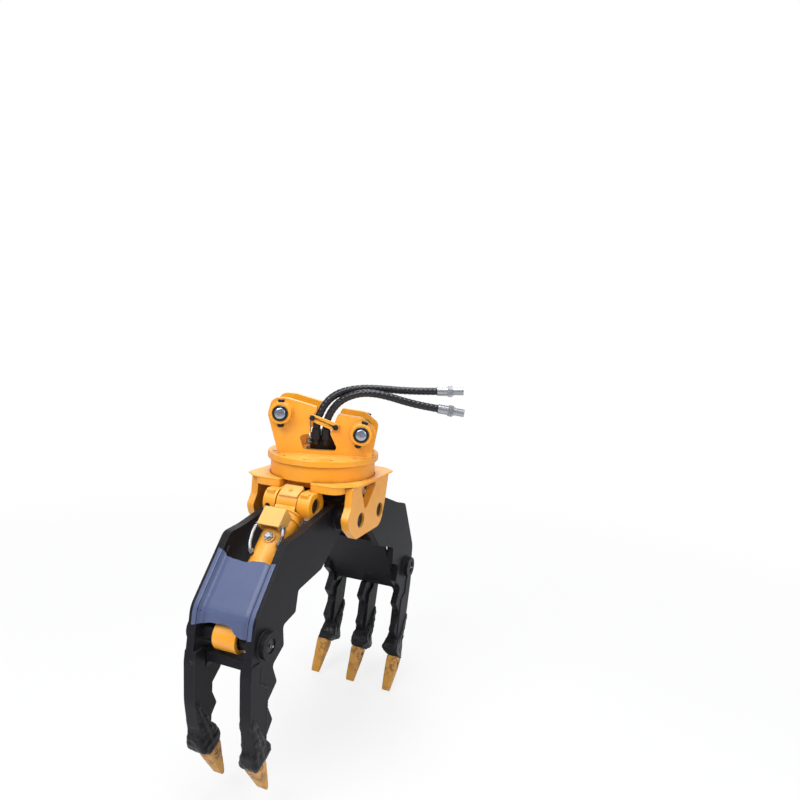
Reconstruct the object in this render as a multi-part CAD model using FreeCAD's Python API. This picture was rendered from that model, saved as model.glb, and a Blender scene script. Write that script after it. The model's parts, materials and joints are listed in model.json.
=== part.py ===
# Turning grapple with two toothed jaws, hung from two coupler pins
# Millimetres, +Z up along the turning axis, +X along the jaw pins, front jaw towards -Y
# The origin is on the turning axis, at mid height between the two coupler pins
import FreeCAD, Part
import math
import os

from FreeCAD import Vector

os.makedirs("parts", exist_ok=True)

# Fits and gaps
running_gap = 0.06
face_gap = 0.3
bolt_gap = 0.5

# Coupler bracket, drawn along its own plates and then turned on the axis
bracket_turn = 22.0
coupler_pin_d = 50.0
coupler_pin_spread = 264.0
coupler_pin_drop = 57.0
coupler_pin_length = 260.0
ear_inside = 134.0
ear_thick = 25.0
ear_base = -109.0
ear_lobe_r = 46.0
ear_left_foot = -140.0
ear_right_foot = 168.0
collar_d = 70.0
collar_length = 34.0
retainer_d = 12.0
retainer_head = 19.0
web_thick = 16.0
web_height = 24.0
web_spread = 200.0

# Head disc and slewing ring
head_d = 375.0
head_thick = 22.0
ring_d = head_d - 21
ring_height = 52.0
ring_inner_d = 218.0
ring_split_d = 292.0
ring_play = 0.6
roller_d = 20.0
roller_count = 24
ring_bolt_circle = ring_d - 26
ring_bolt_count = 12
ring_bolt_d = 14.0
ring_bolt_head = 21.0
ring_bolt_depth = 20.0
head_bolt_sink = 14.0
low_bolt_depth = 30.0
low_bolt_circle = 242.0
low_bolt_count = 8

# Oil swivel on the turning axis
swivel_d = 96.0
swivel_top = -48.0
swivel_spindle_d = 56.0
swivel_flange_d = 120.0
swivel_hole_d = swivel_d + 4
port_level = -68.0

# Supply hoses, drawn in the bracket's own frame
hose_d = 25.0
hose_route_a = [(-18, -79.2, -22), (-18, -79.2, 2), (-9, -79.2, 28), (3, -78, 55), (24, -75, 82),
                (57, -72, 103), (99, -70, 115), (148, -69, 120), (200, -69, 120), (255, -70, 118),
                (315, -72, 119), (372, -75, 122)]
hose_route_b = [(13, -79.2, -22), (13, -79.2, 0), (21, -79.2, 24), (35, -82, 50), (58, -88, 76),
                (91, -93, 95), (130, -97, 106), (172, -99, 106), (218, -100, 98), (265, -101, 86),
                (320, -101, 75), (376, -101, 68)]
ferrule_d = 30.0
ferrule_length = 34.0
coupling_hex = 32.0
nipple_d = 24.5
nipple_length = 30.0

# Turntable and its lugs
table_half = 187.0
table_corner_r = 45.0
table_thick = 22.0
table_drop = 2.0
notch_half = 57.0
notch_depth = 46.0
lug_outside = 187.0
lug_thick = 25.0
lug_lobe_r = 56.0
lug_front = 152.0
lug_flare = 22.0
lug_back = 132.0

# Jaw pins, cylinder pins and how far out they stand
jaw_pin_d = 50.0
jaw_pin_reach = 75.0
jaw_pin_level = -306.0
barrel_pin_d = 50.0
barrel_pin_reach = 190.0
barrel_pin_level = -250.0
rod_pin_d = 42.0
rod_pin_out = 420.0
rod_pin_down = 258.0
hub_d = 84.0
pin_tube_d = 96.0
pin_tube_end = 83.5
keeper_thick = 8.0

# Jaws: plates stand across X, outlines are drawn outward and downward from the jaw pin
rear_closed_more = 10.0
tine_thick = 25.0
front_plate_outside = 109.5
rear_plate_outside = 159.5
elbow_down = 300.0
strip_inner = 9.0
strip_outer = 3.0
strip_inset = 16.0
bar_deep = 42.0
bar_tall = 30.0
guard_thick = 8.0
rod_boss_d = 78.0
rod_boss_proud = 20.0
tooth_lean = 24.0
tooth_seat_out = 420.0
tooth_seat_down = 592.0
tine_end_half = 38.0
front_tooth_place = 78.0
rear_tooth_place = 157.0
tooth_width = 46.0
tooth_tip_width = 32.0
tooth_length = 155.0
tooth_depth = 56.0
tooth_tip_depth = 11.0
tooth_pin_d = 12.0
adapter_neck = 26.0
adapter_swell = 10.0
strap_length = 150.0
strap_thick = 20.0

# Cylinders
barrel_d = 100.0
bore_d = 80.0
barrel_start = 58.0
barrel_end = 282.0
gland_length = 26.0
rod_d = 45.0
eye_d = 90.0
rod_eye_d = 86.0
barrel_eye_width = 72.0
rod_eye_width = 76.0
rod_eye_clearance = 10.6
piston_length = 34.0
rest_extension = 32.7
port_guard_half = 38.0
end_wall = 12.0


def export(name, *solids):
    shape = solids[0] if len(solids) == 1 else Part.makeCompound(list(solids))
    shape.exportStep("parts/%s.step" % name)


def box(x0, x1, y0, y1, z0, z1):
    return Part.makeBox(x1 - x0, y1 - y0, z1 - z0, Vector(x0, y0, z0))


def rod_x(y, z, d, x0, x1):
    return Part.makeCylinder(d / 2, x1 - x0, Vector(x0, y, z), Vector(1, 0, 0))


def rod_y(x, z, d, y0, y1):
    return Part.makeCylinder(d / 2, y1 - y0, Vector(x, y0, z), Vector(0, 1, 0))


def rod_z(x, y, d, z0, z1):
    return Part.makeCylinder(d / 2, z1 - z0, Vector(x, y, z0), Vector(0, 0, 1))


def hexagon_z(x, y, across, z0, z1):
    corners = [Vector(x + across / math.sqrt(3) * math.cos(math.radians(60 * k)),
                      y + across / math.sqrt(3) * math.sin(math.radians(60 * k)), z0) for k in range(7)]
    return Part.Face(Part.makePolygon(corners)).extrude(Vector(0, 0, z1 - z0))


def about(shape, point, axis, degrees):
    turned = shape.copy()
    turned.rotate(point, axis, degrees)
    return turned


def outline(corners):
    """Closed face edge with a rounding at each corner: (a, b, radius) in order."""
    count = len(corners)
    arcs = []
    for k in range(count):
        before = Vector(*corners[k - 1][:2])
        here = Vector(*corners[k][:2])
        after = Vector(*corners[(k + 1) % count][:2])
        radius = corners[k][2]
        to_before = (before - here).normalize()
        to_after = (after - here).normalize()
        half = to_before.getAngle(to_after) / 2
        if radius <= 0:
            arcs.append((here, None, here))
            continue
        back = radius / math.tan(half)
        middle_way = (to_before + to_after).normalize()
        centre = here + middle_way * (radius / math.sin(half))
        arcs.append((here + to_before * back, centre - middle_way * radius, here + to_after * back))
    edges = []
    for k in range(count):
        start, middle, end = arcs[k]
        if middle is not None:
            edges.append(Part.Arc(start, middle, end).toShape())
        following = arcs[(k + 1) % count][0]
        if (following - end).Length > 1e-6:
            edges.append(Part.LineSegment(end, following).toShape())
    return Part.Face(Part.Wire(edges))


def across_x(corners, x0, x1):
    """Plate whose outline is given as (y, z, radius), between two X planes."""
    face = outline(corners)
    face.rotate(Vector(0, 0, 0), Vector(1, 1, 1), 120)
    face.translate(Vector(x0, 0, 0))
    return face.extrude(Vector(x1 - x0, 0, 0))


def across_y(corners, y0, y1):
    """Plate whose outline is given as (x, z, radius), between two Y planes."""
    face = outline(corners)
    face.rotate(Vector(0, 0, 0), Vector(1, 0, 0), 90)
    face.translate(Vector(0, y0, 0))
    return face.extrude(Vector(0, y1 - y0, 0))


def across_z(corners, z0, z1):
    """Plate whose outline is given as (x, y, radius), between two Z planes."""
    face = outline(corners)
    face.translate(Vector(0, 0, z0))
    return face.extrude(Vector(0, 0, z1 - z0))


# Levels down the turning axis
head_top = ear_base
head_low = head_top - head_thick
ring_low = head_low - ring_height
table_top = ring_low - table_drop
table_low = table_top - table_thick
ear_outside = ear_inside / 2 + ear_thick
pin_places = [(-coupler_pin_spread / 2, coupler_pin_drop / 2),
              (coupler_pin_spread / 2, -coupler_pin_drop / 2)]


def turned_bracket(shape):
    return about(shape, Vector(0, 0, 0), Vector(0, 0, 1), bracket_turn)


def ear_plate(near_y):
    left, right = pin_places
    reach = ear_lobe_r
    body = across_y([
        (ear_left_foot, ear_base, 0),
        (left[0] - reach, left[1] - 8, 30),
        (left[0] - reach * 0.72, left[1] + reach, 26),
        (left[0] + reach * 0.4, left[1] + reach, 20),
        (-14, left[1] + 21, 8),
        (-40, 2, 12),
        (-36, -38, 10),
        (-74, -46, 12),
        (-56, -93, 12),
        (58, -93, 12),
        (29, -36, 12),
        (51, 31, 10),
        (right[0], right[1] + reach + 5, 30),
        (right[0] + reach + 4, right[1] + 12, 30),
        (ear_right_foot, ear_base, 0)], near_y, near_y + ear_thick)
    for place in pin_places:
        body = body.cut(rod_y(place[0], place[1], coupler_pin_d + 2 * running_gap,
                              near_y - 1, near_y + ear_thick + 1))
    return body


def pin_collar(place, side):
    inner = ear_outside
    y0, y1 = (-inner - collar_length, -inner) if side < 0 else (inner, inner + collar_length)
    collar = rod_y(place[0], place[1], collar_d, y0, y1)
    collar = collar.cut(rod_y(place[0], place[1], coupler_pin_d + 2 * running_gap, y0 - 1, y1 + 1))
    middle = (y0 + y1) / 2
    return collar.cut(rod_z(place[0], middle, retainer_d + bolt_gap, place[1] - collar_d,
                            place[1] + collar_d))


def retainer(place, side):
    middle = side * (ear_outside + collar_length / 2)
    x, z = place
    flat = math.sqrt((collar_d / 2) ** 2 - (retainer_head / 2) ** 2) + 1.5
    shank = rod_z(x, middle, retainer_d, z - flat - 12, z + flat)
    head = hexagon_z(x, middle, retainer_head, z + flat, z + flat + 8)
    nut = hexagon_z(x, middle, retainer_head, z - flat - 10, z - flat)
    tilt = 14 if x > 0 else 0
    return about(shank.fuse([head, nut]), Vector(x, middle, z), Vector(0, 1, 0), tilt)


def coupler_pin(place):
    x, z = place
    half = coupler_pin_length / 2
    pin = rod_y(x, z, coupler_pin_d, -half, half)
    edges = [edge for edge in pin.Edges if abs(abs(edge.CenterOfMass.y) - half) < 0.1
             and edge.Curve.TypeId == "Part::GeomCircle"]
    pin = pin.makeChamfer(3, edges)
    tilt = 14 if x > 0 else 0
    for side in (-1, 1):
        middle = side * (ear_outside + collar_length / 2)
        hole = rod_z(x, middle, retainer_d + bolt_gap, z - coupler_pin_d, z + coupler_pin_d)
        pin = pin.cut(about(hole, Vector(x, middle, z), Vector(0, 1, 0), tilt))
    return pin


def build_bracket():
    front = ear_plate(-ear_outside)
    rear = ear_plate(ear_inside / 2)
    export("ear_plate_front", turned_bracket(front))
    export("ear_plate_rear", turned_bracket(rear))
    collars = []
    bolts = []
    for place in pin_places:
        tilt = 14 if place[0] > 0 else 0
        for side in (-1, 1):
            collar = about(pin_collar(place, side), Vector(place[0], 0, place[1]), Vector(0, 1, 0), tilt)
            collars.append(turned_bracket(collar))
            bolts.append(turned_bracket(retainer(place, side)))
    export("pin_collars", *collars)
    export("pin_retaining_bolts", *bolts)
    export("coupler_pins", *[turned_bracket(coupler_pin(place)) for place in pin_places])
    webs = []
    for side in (-1, 1):
        x = side * web_spread / 2
        webs.append(turned_bracket(box(x - web_thick / 2, x + web_thick / 2, -ear_inside / 2,
                                       ear_inside / 2, ear_base, ear_base + web_height)))
    export("bracket_webs", *webs)
    build_clamp()


def build_clamp():
    outer = -ear_outside
    bar = across_y([(-42, 31, 6), (-34, 5, 6), (54, -28, 6), (60, -2, 6)], outer - 12, outer)
    ends = [(-30, 16), (47, -12)]
    bolts = []
    for x, z in ends:
        bar = bar.cut(rod_y(x, z, 10 + bolt_gap, outer - 20, outer + 1))
        shank = rod_y(x, z, 10, outer - 12, outer)
        head = hexagon_z(x, z, 17, 0, 7)
        head = about(head, Vector(x, z, 0), Vector(1, 0, 0), 90)
        head.translate(Vector(x, outer - 12, z) - Vector(x, z, 0))
        bolts.append(turned_bracket(shank.fuse(head)))
    export("hose_clamp_bar", turned_bracket(bar))
    export("hose_clamp_bolts", *bolts)


def round_circle(count, circle):
    """Places of the bolts of a ring, half a step off the bracket's own direction."""
    places = []
    for k in range(count):
        angle = math.radians((k + 0.5) * 360 / count + bracket_turn)
        places.append((circle / 2 * math.cos(angle), circle / 2 * math.sin(angle)))
    return places


def head_screws(seat):
    """Socket screws sunk in the head disc, with their hexagon recesses."""
    screws = []
    for x, y in round_circle(ring_bolt_count, ring_bolt_circle):
        shank = rod_z(x, y, ring_bolt_d, head_low - ring_bolt_depth + 2, seat)
        head = rod_z(x, y, ring_bolt_head, seat, head_top - 1)
        recess = hexagon_z(x, y, ring_bolt_head / 2, head_top - 8, head_top)
        screws.append(shank.fuse(head).cut(recess))
    return screws


def table_screws():
    """Hexagon screws from below, through the table into the inner ring."""
    screws = []
    for x, y in round_circle(low_bolt_count, low_bolt_circle):
        shank = rod_z(x, y, ring_bolt_d, table_low, table_top + low_bolt_depth - 2)
        screws.append(shank.fuse(hexagon_z(x, y, ring_bolt_head, table_low - 9, table_low)))
    return screws


def bolt_holes(count, circle, hole_d, z0, z1):
    return [rod_z(x, y, hole_d, z0, z1) for x, y in round_circle(count, circle)]


def roller_groove(radius, level):
    """Square channel standing on its edge, all the way round the ring."""
    half = roller_d / math.sqrt(2) + running_gap
    diamond = Part.Face(Part.makePolygon([Vector(radius - half, 0, level), Vector(radius, 0, level - half),
                                          Vector(radius + half, 0, level), Vector(radius, 0, level + half),
                                          Vector(radius - half, 0, level)]))
    return diamond.revolve(Vector(0, 0, 0), Vector(0, 0, 1), 360)


def build_slewing():
    head = rod_z(0, 0, head_d, head_low, head_top)
    head = head.makeChamfer(2, [edge for edge in head.Edges if edge.Curve.TypeId == "Part::GeomCircle"])
    sunk = head_top - head_bolt_sink
    head = head.cut([rod_z(0, 0, swivel_hole_d, head_low - 1, head_top + 1)]
                    + bolt_holes(ring_bolt_count, ring_bolt_circle, ring_bolt_d + bolt_gap,
                                 head_low - 1, head_top + 1)
                    + bolt_holes(ring_bolt_count, ring_bolt_circle, ring_bolt_head + 2 * face_gap,
                                 sunk, head_top + 1))
    export("head_disc", head)
    race_middle = (head_low + ring_low) / 2
    split = ring_split_d / 2
    groove = roller_groove(split, race_middle)
    outer = rod_z(0, 0, ring_d, ring_low, head_low).cut(rod_z(0, 0, ring_split_d + ring_play * 2,
                                                               ring_low - 1, head_low + 1))
    outer = outer.cut([groove] + bolt_holes(ring_bolt_count, ring_bolt_circle, ring_bolt_d,
                                            head_low - ring_bolt_depth, head_low + 1))
    export("slew_ring_outer", outer)
    inner_top = head_low - 2.5
    inner = rod_z(0, 0, ring_split_d - ring_play * 2, table_top, inner_top)
    inner = inner.cut([rod_z(0, 0, ring_inner_d, table_top - 1, inner_top + 1), groove]
                      + bolt_holes(low_bolt_count, low_bolt_circle, ring_bolt_d,
                                   table_top - 1, table_top + low_bolt_depth))
    export("slew_ring_inner", inner)
    rollers = []
    for k in range(roller_count):
        roller = rod_z(0, 0, roller_d, -roller_d / 2 + 0.2, roller_d / 2 - 0.2)
        roller = about(roller, Vector(0, 0, 0), Vector(0, 1, 0), 45 if k % 2 else -45)
        roller.translate(Vector(split, 0, race_middle))
        rollers.append(about(roller, Vector(0, 0, 0), Vector(0, 0, 1), 360 * k / roller_count))
    export("slew_rollers", *rollers)
    export("head_bolts", *head_screws(sunk))


def build_swivel():
    bore = swivel_spindle_d + 2 * running_gap
    housing = rod_z(0, 0, swivel_d, head_low, swivel_top).fuse(
        rod_z(0, 0, swivel_flange_d, head_top, head_top + 12))
    housing = housing.cut(rod_z(0, 0, bore, head_low - 1, swivel_top - 12))
    export("swivel_housing", housing)
    spindle = rod_z(0, 0, swivel_spindle_d, table_low - 28, swivel_top - 14)
    spindle = spindle.fuse(rod_z(0, 0, swivel_hole_d - 2, table_low - 28, table_low))
    export("swivel_spindle", spindle)
    fittings = []
    for route in (hose_route_a, hose_route_b):
        x, y, z = route[0]
        face_y = -math.sqrt((swivel_d / 2) ** 2 - x ** 2)
        stub = rod_y(x, port_level, 18, y, face_y + 3)
        nut = rod_y(x, port_level, 27, face_y - 12, face_y + 3)
        riser = rod_z(x, y, 18, port_level, z - ferrule_length)
        ferrule = rod_z(x, y, ferrule_d, z - ferrule_length, z)
        fitting = stub.fuse([nut, riser, ferrule, Part.makeSphere(9, Vector(x, y, port_level))])
        fittings.append(turned_bracket(fitting.cut(rod_z(0, 0, swivel_d, head_low, swivel_top))))
    export("swivel_fittings", *fittings)


def tube_along(route, diameter, name):
    """Straight runs joined by tangent arcs, as large as the runs allow."""
    points = [Vector(*point) for point in route]
    edges = []
    radii = []
    start = points[0]
    for k in range(1, len(points) - 1):
        before, here, after = points[k - 1:k + 2]
        into = (here - before).normalize()
        out = (after - here).normalize()
        turn = into.getAngle(out)
        back = 0.45 * min((here - before).Length, (after - here).Length)
        radii.append(back / math.tan(turn / 2))
        arc_start = here - into * back
        arc_end = here + out * back
        inward = (out - into).normalize()
        centre = here + inward * (radii[-1] / math.cos(turn / 2))
        edges.append(Part.LineSegment(start, arc_start).toShape())
        edges.append(Part.Arc(arc_start, centre - inward * radii[-1], arc_end).toShape())
        start = arc_end
    edges.append(Part.LineSegment(start, points[-1]).toShape())
    path = Part.Wire(edges)
    circle = Part.Wire(Part.makeCircle(diameter / 2, points[0], points[1] - points[0]))
    tube = path.makePipeShell([circle], True, False)
    expected = math.pi * diameter ** 2 / 4 * path.Length
    print(name, "length %.0f, tightest radius %.0f, volume %.4f of section times length"
          % (path.Length, min(radii), tube.Volume / expected))
    return tube


def coupling(route):
    """Crimped ferrule, hexagon and plug-in nipple on the end of a hose, along its last run."""
    end = Vector(*route[-1])
    run = (end - Vector(*route[-2])).normalize()
    hexagon_z0 = ferrule_length
    parts = [hexagon_z(0, 0, coupling_hex, hexagon_z0, hexagon_z0 + 16),
             rod_z(0, 0, 27, hexagon_z0 + 16, hexagon_z0 + 22),
             rod_z(0, 0, nipple_d, hexagon_z0 + 22, hexagon_z0 + 22 + nipple_length)]
    body = rod_z(0, 0, ferrule_d, 0, ferrule_length).fuse(parts)
    body.Placement = FreeCAD.Placement(end, FreeCAD.Rotation(Vector(0, 0, 1), run))
    return body


def build_hoses():
    export("supply_hose_a", turned_bracket(tube_along(hose_route_a, hose_d, "supply_hose_a")))
    export("supply_hose_b", turned_bracket(tube_along(hose_route_b, hose_d, "supply_hose_b")))
    export("supply_couplings", turned_bracket(coupling(hose_route_a)), turned_bracket(coupling(hose_route_b)))


def table_plate():
    half = table_half
    side = lug_outside - lug_thick
    round_r = table_corner_r
    inner = half - notch_depth
    n = notch_half
    plate = across_z([
        (-side, -half, round_r), (-n, -half, 6), (-n + 6, -inner, 14), (n - 6, -inner, 14), (n, -half, 6),
        (side, -half, round_r), (side, half, round_r), (n, half, 6), (n - 6, inner, 14),
        (-n + 6, inner, 14), (-n, half, 6), (-side, half, round_r)], table_low, table_top)
    plate = plate.cut([rod_z(0, 0, swivel_spindle_d + 2, table_low - 1, table_top + 1)]
                      + bolt_holes(low_bolt_count, low_bolt_circle, ring_bolt_d + bolt_gap,
                                   table_low - 1, table_top + 1))
    return plate


def lug_plate(side):
    low = jaw_pin_level
    lobe = lug_lobe_r
    plate = across_x([
        (-lug_front + 8, table_top, 10),
        (-lug_front + 2, low + lobe, 26),
        (-lug_front - lug_flare, low + 20, 22),
        (-lug_front - 8, low - 14, 26),
        (-jaw_pin_reach - 34, low - lobe, 30),
        (jaw_pin_reach + 12, low - lobe, 44),
        (jaw_pin_reach + lobe - 10, low + 30, 60),
        (lug_back + 10, table_top, 10)], lug_outside - lug_thick, lug_outside)
    window = across_x([(-82, table_top - 12, 10), (42, table_top - 12, 8), (-34, low + 34, 12),
                       (-50, low + 34, 12)], lug_outside - lug_thick - 1, lug_outside + 1)
    plate = plate.cut(window)
    for y in (-jaw_pin_reach, jaw_pin_reach):
        plate = plate.cut(rod_x(y, low, jaw_pin_d + 2 * running_gap, lug_outside - lug_thick - 1,
                                lug_outside + 1))
    return plate if side > 0 else plate.mirror(Vector(0, 0, 0), Vector(1, 0, 0))


def half_turn(shape):
    return about(shape, Vector(0, 0, 0), Vector(0, 0, 1), 180)


def build_turntable():
    export("turntable_plate", table_plate())
    export("turntable_bolts", *table_screws())
    export("lug_plate_right", lug_plate(1))
    export("lug_plate_left", lug_plate(-1))
    inner_x = barrel_eye_width / 2 + 3
    y, z = -barrel_pin_reach, barrel_pin_level
    mounts = []
    for x0, x1 in ((inner_x, pin_tube_end), (-pin_tube_end, -inner_x)):
        saddle = across_x([(y - 40, table_low, 0), (y - 32, z, 0), (y + 32, z, 0), (y + 60, table_low, 0)],
                          x0 + 8, x1 - 8)
        saddle = saddle.fuse(rod_x(y, z, pin_tube_d, x0, x1))
        saddle = saddle.cut(rod_x(y, z, barrel_pin_d + 2 * running_gap, x0 - 1, x1 + 1))
        saddle = saddle.common(box(x0, x1, y - 100, y + 100, z - 100, table_low))
        mounts.append(saddle)
    export("barrel_pin_mounts", *(mounts + [half_turn(mount) for mount in mounts]))
    pin = rod_x(y, z, barrel_pin_d, -pin_tube_end + 10, pin_tube_end - 10)
    export("barrel_pins", pin, half_turn(pin))
    pins = []
    keepers = []
    for side in (-1, 1):
        y = side * jaw_pin_reach
        pin = rod_x(y, jaw_pin_level, jaw_pin_d, -lug_outside - 14, lug_outside - 8)
        slot = box(-lug_outside - keeper_thick - face_gap, -lug_outside + face_gap, y - 30, y + 30,
                   jaw_pin_level + jaw_pin_d / 2 - 8, jaw_pin_level + 30)
        pins.append(pin.cut(slot))
        low = jaw_pin_level + jaw_pin_d / 2 - 8 + face_gap
        keeper = box(-lug_outside - keeper_thick, -lug_outside, y - 32, y + 32, low, low + 24)
        heads = [rod_x(y + dy, low + 15, 14, -lug_outside - keeper_thick - 6, -lug_outside - keeper_thick)
                 for dy in (-22, 22)]
        keepers.append(keeper.fuse(heads))
    export("jaw_pins", *pins)
    export("jaw_pin_keepers", *keepers)


# Jaw outline, drawn from the jaw pin as outward and downward distances
def jaw_corner(out, down, radius):
    return (-out, -down, radius)


def seat_corner(offset, radius):
    """Point on the line across the end of a tine, measured outward from its middle."""
    lean = math.radians(tooth_lean)
    return (tooth_seat_out + offset * math.cos(lean), tooth_seat_down + offset * math.sin(lean), radius)


def below_elbow(offset, share, radius):
    """Point of the lower tine: distance out from the tooth seat, and share of the way down to it."""
    return (tooth_seat_out + offset, elbow_down + share * (tooth_seat_down - elbow_down), radius)


def tine_outline(head, tail):
    """The long edge is the back; the inner edge carries the saw teeth."""
    back = [below_elbow(63, 0.51, 260), below_elbow(42, 0.88, 120), seat_corner(tine_end_half, 2)]
    saw = [seat_corner(-tine_end_half, 6), below_elbow(-14, 0.85, 14), below_elbow(-50, 0.7, 8),
           below_elbow(-17, 0.48, 15), below_elbow(-67, 0.335, 8)]
    return [jaw_corner(*point) for point in head + back + saw + tail]


def side_outline():
    front_corner = (rod_pin_out + 48, rod_pin_down - 82, 70)
    arm_head = [(262, 226, 8), (250, 163, 12), (112, 143, 22), (-44, 34, 20), (-30, -50, 24),
                (44, -46, 60), (250, -8, 200), (325, -2, 34), front_corner, below_elbow(67, 0.1, 110)]
    upper_saw = [below_elbow(-40, 0.13, 15), below_elbow(-98, 0.01, 8), (330, 240, 14)]
    return tine_outline(arm_head, upper_saw)


def side_plate(x0, x1):
    plate = across_x(side_outline(), x0, x1)
    plate = plate.fuse(rod_x(0, 0, 2 * lug_lobe_r - 2, x0, x1)).removeSplitter()
    return plate


def bar_low():
    return rod_pin_down + rod_eye_d / 2 + 13 + bar_tall


def middle_outline():
    low = bar_low()
    return tine_outline([(rod_pin_out - 40, low, 4), (rod_pin_out + 68, low, 24)], [])


def back_strip(profile, x0, x1):
    """Strip that thickens a tine along its back, down to the tooth."""
    clear = rod_pin_out + 20
    low = bar_low()
    rough = [(600, elbow_down - 2, 0), (clear, elbow_down - 2, 10), (clear, low + 24, 10),
             below_elbow(-strip_inset, 0.32, 12), below_elbow(-strip_inset, 0.6, 200),
             seat_corner(-strip_inset, 0), seat_corner(100, 0), (600, tooth_seat_down, 0)]
    return across_x(profile, x0, x1).common(across_x([jaw_corner(*point) for point in rough], x0, x1))


def to_tooth_seat(shape):
    placed = about(shape, Vector(0, 0, 0), Vector(1, 0, 0), tooth_lean)
    placed.translate(Vector(0, -tooth_seat_out, -tooth_seat_down))
    return placed


def frustum(rectangle0, z0, rectangle1, z1):
    """Solid between two level rectangles, each given as (x0, x1, y0, y1)."""
    wires = []
    for (x0, x1, y0, y1), z in ((rectangle0, z0), (rectangle1, z1)):
        corners = [(x0, y0), (x1, y0), (x1, y1), (x0, y1), (x0, y0)]
        wires.append(Part.makePolygon([Vector(x, y, z) for x, y in corners]))
    return Part.makeLoft(wires, True, True)


def wedge(width0, width1, depth0, depth1, z0, z1):
    """Chisel pointing down: its width runs in X and its depth in Y."""
    side = across_x([(-depth0 / 2, z0, 0), (-depth1 / 2, z1, 0), (depth1 / 2, z1, 0), (depth0 / 2, z0, 0)],
                    -width0, width0)
    face = across_y([(-width0 / 2, z0, 0), (-width1 / 2, z1, 0), (width1 / 2, z1, 0), (width0 / 2, z0, 0)],
                    -depth0, depth0)
    return side.common(face)


nose_length = 60.0
nose_width = 26.0
nose_depth = 32.0
socket_gap = 0.5
nose_pin_level = -adapter_neck - nose_length * 0.35


def tooth():
    body = wedge(tooth_width, tooth_tip_width, tooth_depth, tooth_tip_depth, -adapter_neck, -tooth_length)
    socket = wedge(nose_width + 2 * socket_gap, nose_width - 5, nose_depth + 2 * socket_gap, 15,
                   -adapter_neck, -adapter_neck - nose_length - 4)
    hole = rod_x(0, nose_pin_level, tooth_pin_d + 2 * running_gap, -tooth_width, tooth_width)
    return body.cut([socket, hole])


def adapter(inner_face, outer_face):
    """Cast neck between tine and tooth, its nose, and the strap up the tine's inner face."""
    half = tine_end_half
    neck = frustum((inner_face - strap_thick, outer_face + adapter_swell, -half, half), 0,
                   (-tooth_width / 2 - 1, tooth_width / 2 + 1, -tooth_depth / 2 - 1, tooth_depth / 2 + 1),
                   -adapter_neck + face_gap)
    nose = wedge(nose_width, nose_width - 6, nose_depth, 14, -adapter_neck + 2, -adapter_neck - nose_length)
    hole = rod_x(0, nose_pin_level, tooth_pin_d + 2 * running_gap, -tooth_width, tooth_width)
    return neck.fuse(nose).cut(hole)


def strap(thick):
    """Tapered plate of the adapter, lying on one side of the tine above its seat; thick has a sign."""
    half = tine_end_half
    foot = sorted((0, thick))
    top = sorted((0, thick * 0.3))
    return frustum((foot[0], foot[1], -half, half), 0, (top[0], top[1], -half * 0.2, half * 0.45), strap_length)


def tooth_pin():
    return rod_x(0, nose_pin_level, tooth_pin_d, -tooth_width / 2 + 2, tooth_width / 2 - 2)


def lay_along(plate, start, end):
    """Turns a plate drawn hanging straight down so that it runs from start to end."""
    lean = math.degrees(math.atan2(end[0] - start[0], end[1] - start[1]))
    placed = about(plate, Vector(0, 0, 0), Vector(1, 0, 0), -lean)
    placed.translate(Vector(0, -start[0], -start[1]))
    return placed


def guard_plate(half):
    """Folded plate over the cylinder rod, raised along its middle, with a dip in its lower edge."""
    rise = 14.0
    dip = 20.0
    start = (rod_pin_out - 94, rod_pin_down - 224)
    end = (rod_pin_out + 42, rod_pin_down - 66)
    length = math.hypot(end[0] - start[0], end[1] - start[1])
    t = guard_thick
    section = [(-half, 0, 0), (-half + 14, 0, 6), (-half + 30, rise, 6), (half - 30, rise, 6),
               (half - 14, 0, 6), (half, 0, 0), (half, -t, 0), (half - 17, -t, 14), (half - 33, rise - t, 3),
               (-half + 33, rise - t, 3), (-half + 17, -t, 14), (-half, -t, 0)]
    plate = across_z(section, -length, 0)
    plate = plate.cut(rod_y(half / 6, -length - rod_boss_d / 2 + dip, rod_boss_d, -half, half))
    plate = about(plate, Vector(0, 0, 0), Vector(0, 0, 1), 180)
    return lay_along(plate, start, end)


def inner_plate(half):
    """Plate across the rear jaw, inside its arms, down to the cross bar."""
    start = (rod_pin_out - 169, rod_pin_down - 79)
    end = (rod_pin_out - bar_deep / 2 - 7, rod_pin_down + 64)
    length = math.hypot(end[0] - start[0], end[1] - start[1])
    return lay_along(box(-half, half, 0, 14, -length, 0), start, end)


def place_front(shape):
    placed = shape.copy()
    placed.translate(Vector(0, -jaw_pin_reach, jaw_pin_level))
    return placed


def place_rear(shape):
    placed = about(shape, Vector(0, 0, 0), Vector(1, 0, 0), rear_closed_more)
    placed.translate(Vector(0, -jaw_pin_reach, jaw_pin_level))
    return half_turn(placed)


def bored(plate):
    x0, x1 = plate.BoundBox.XMin - 1, plate.BoundBox.XMax + 1
    return plate.cut([rod_x(0, 0, hub_d, x0, x1),
                      rod_x(-rod_pin_out, -rod_pin_down, rod_pin_d + 2 * running_gap, x0, x1)])


def cross_bar(half):
    """Bar between the tines below the rod eye, with rounded feet where it meets them."""
    low = -bar_low()
    top = low + bar_tall
    foot = low - 22
    middle = -rod_pin_out + 7
    return across_y([(-half, top, 0), (half, top, 0), (half, foot, 0), (half - 6, foot, 0),
                     (half - 12, low, 14), (-half + 12, low, 14), (-half + 6, foot, 0), (-half, foot, 0)],
                    middle - bar_deep / 2, middle + bar_deep / 2)


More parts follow.
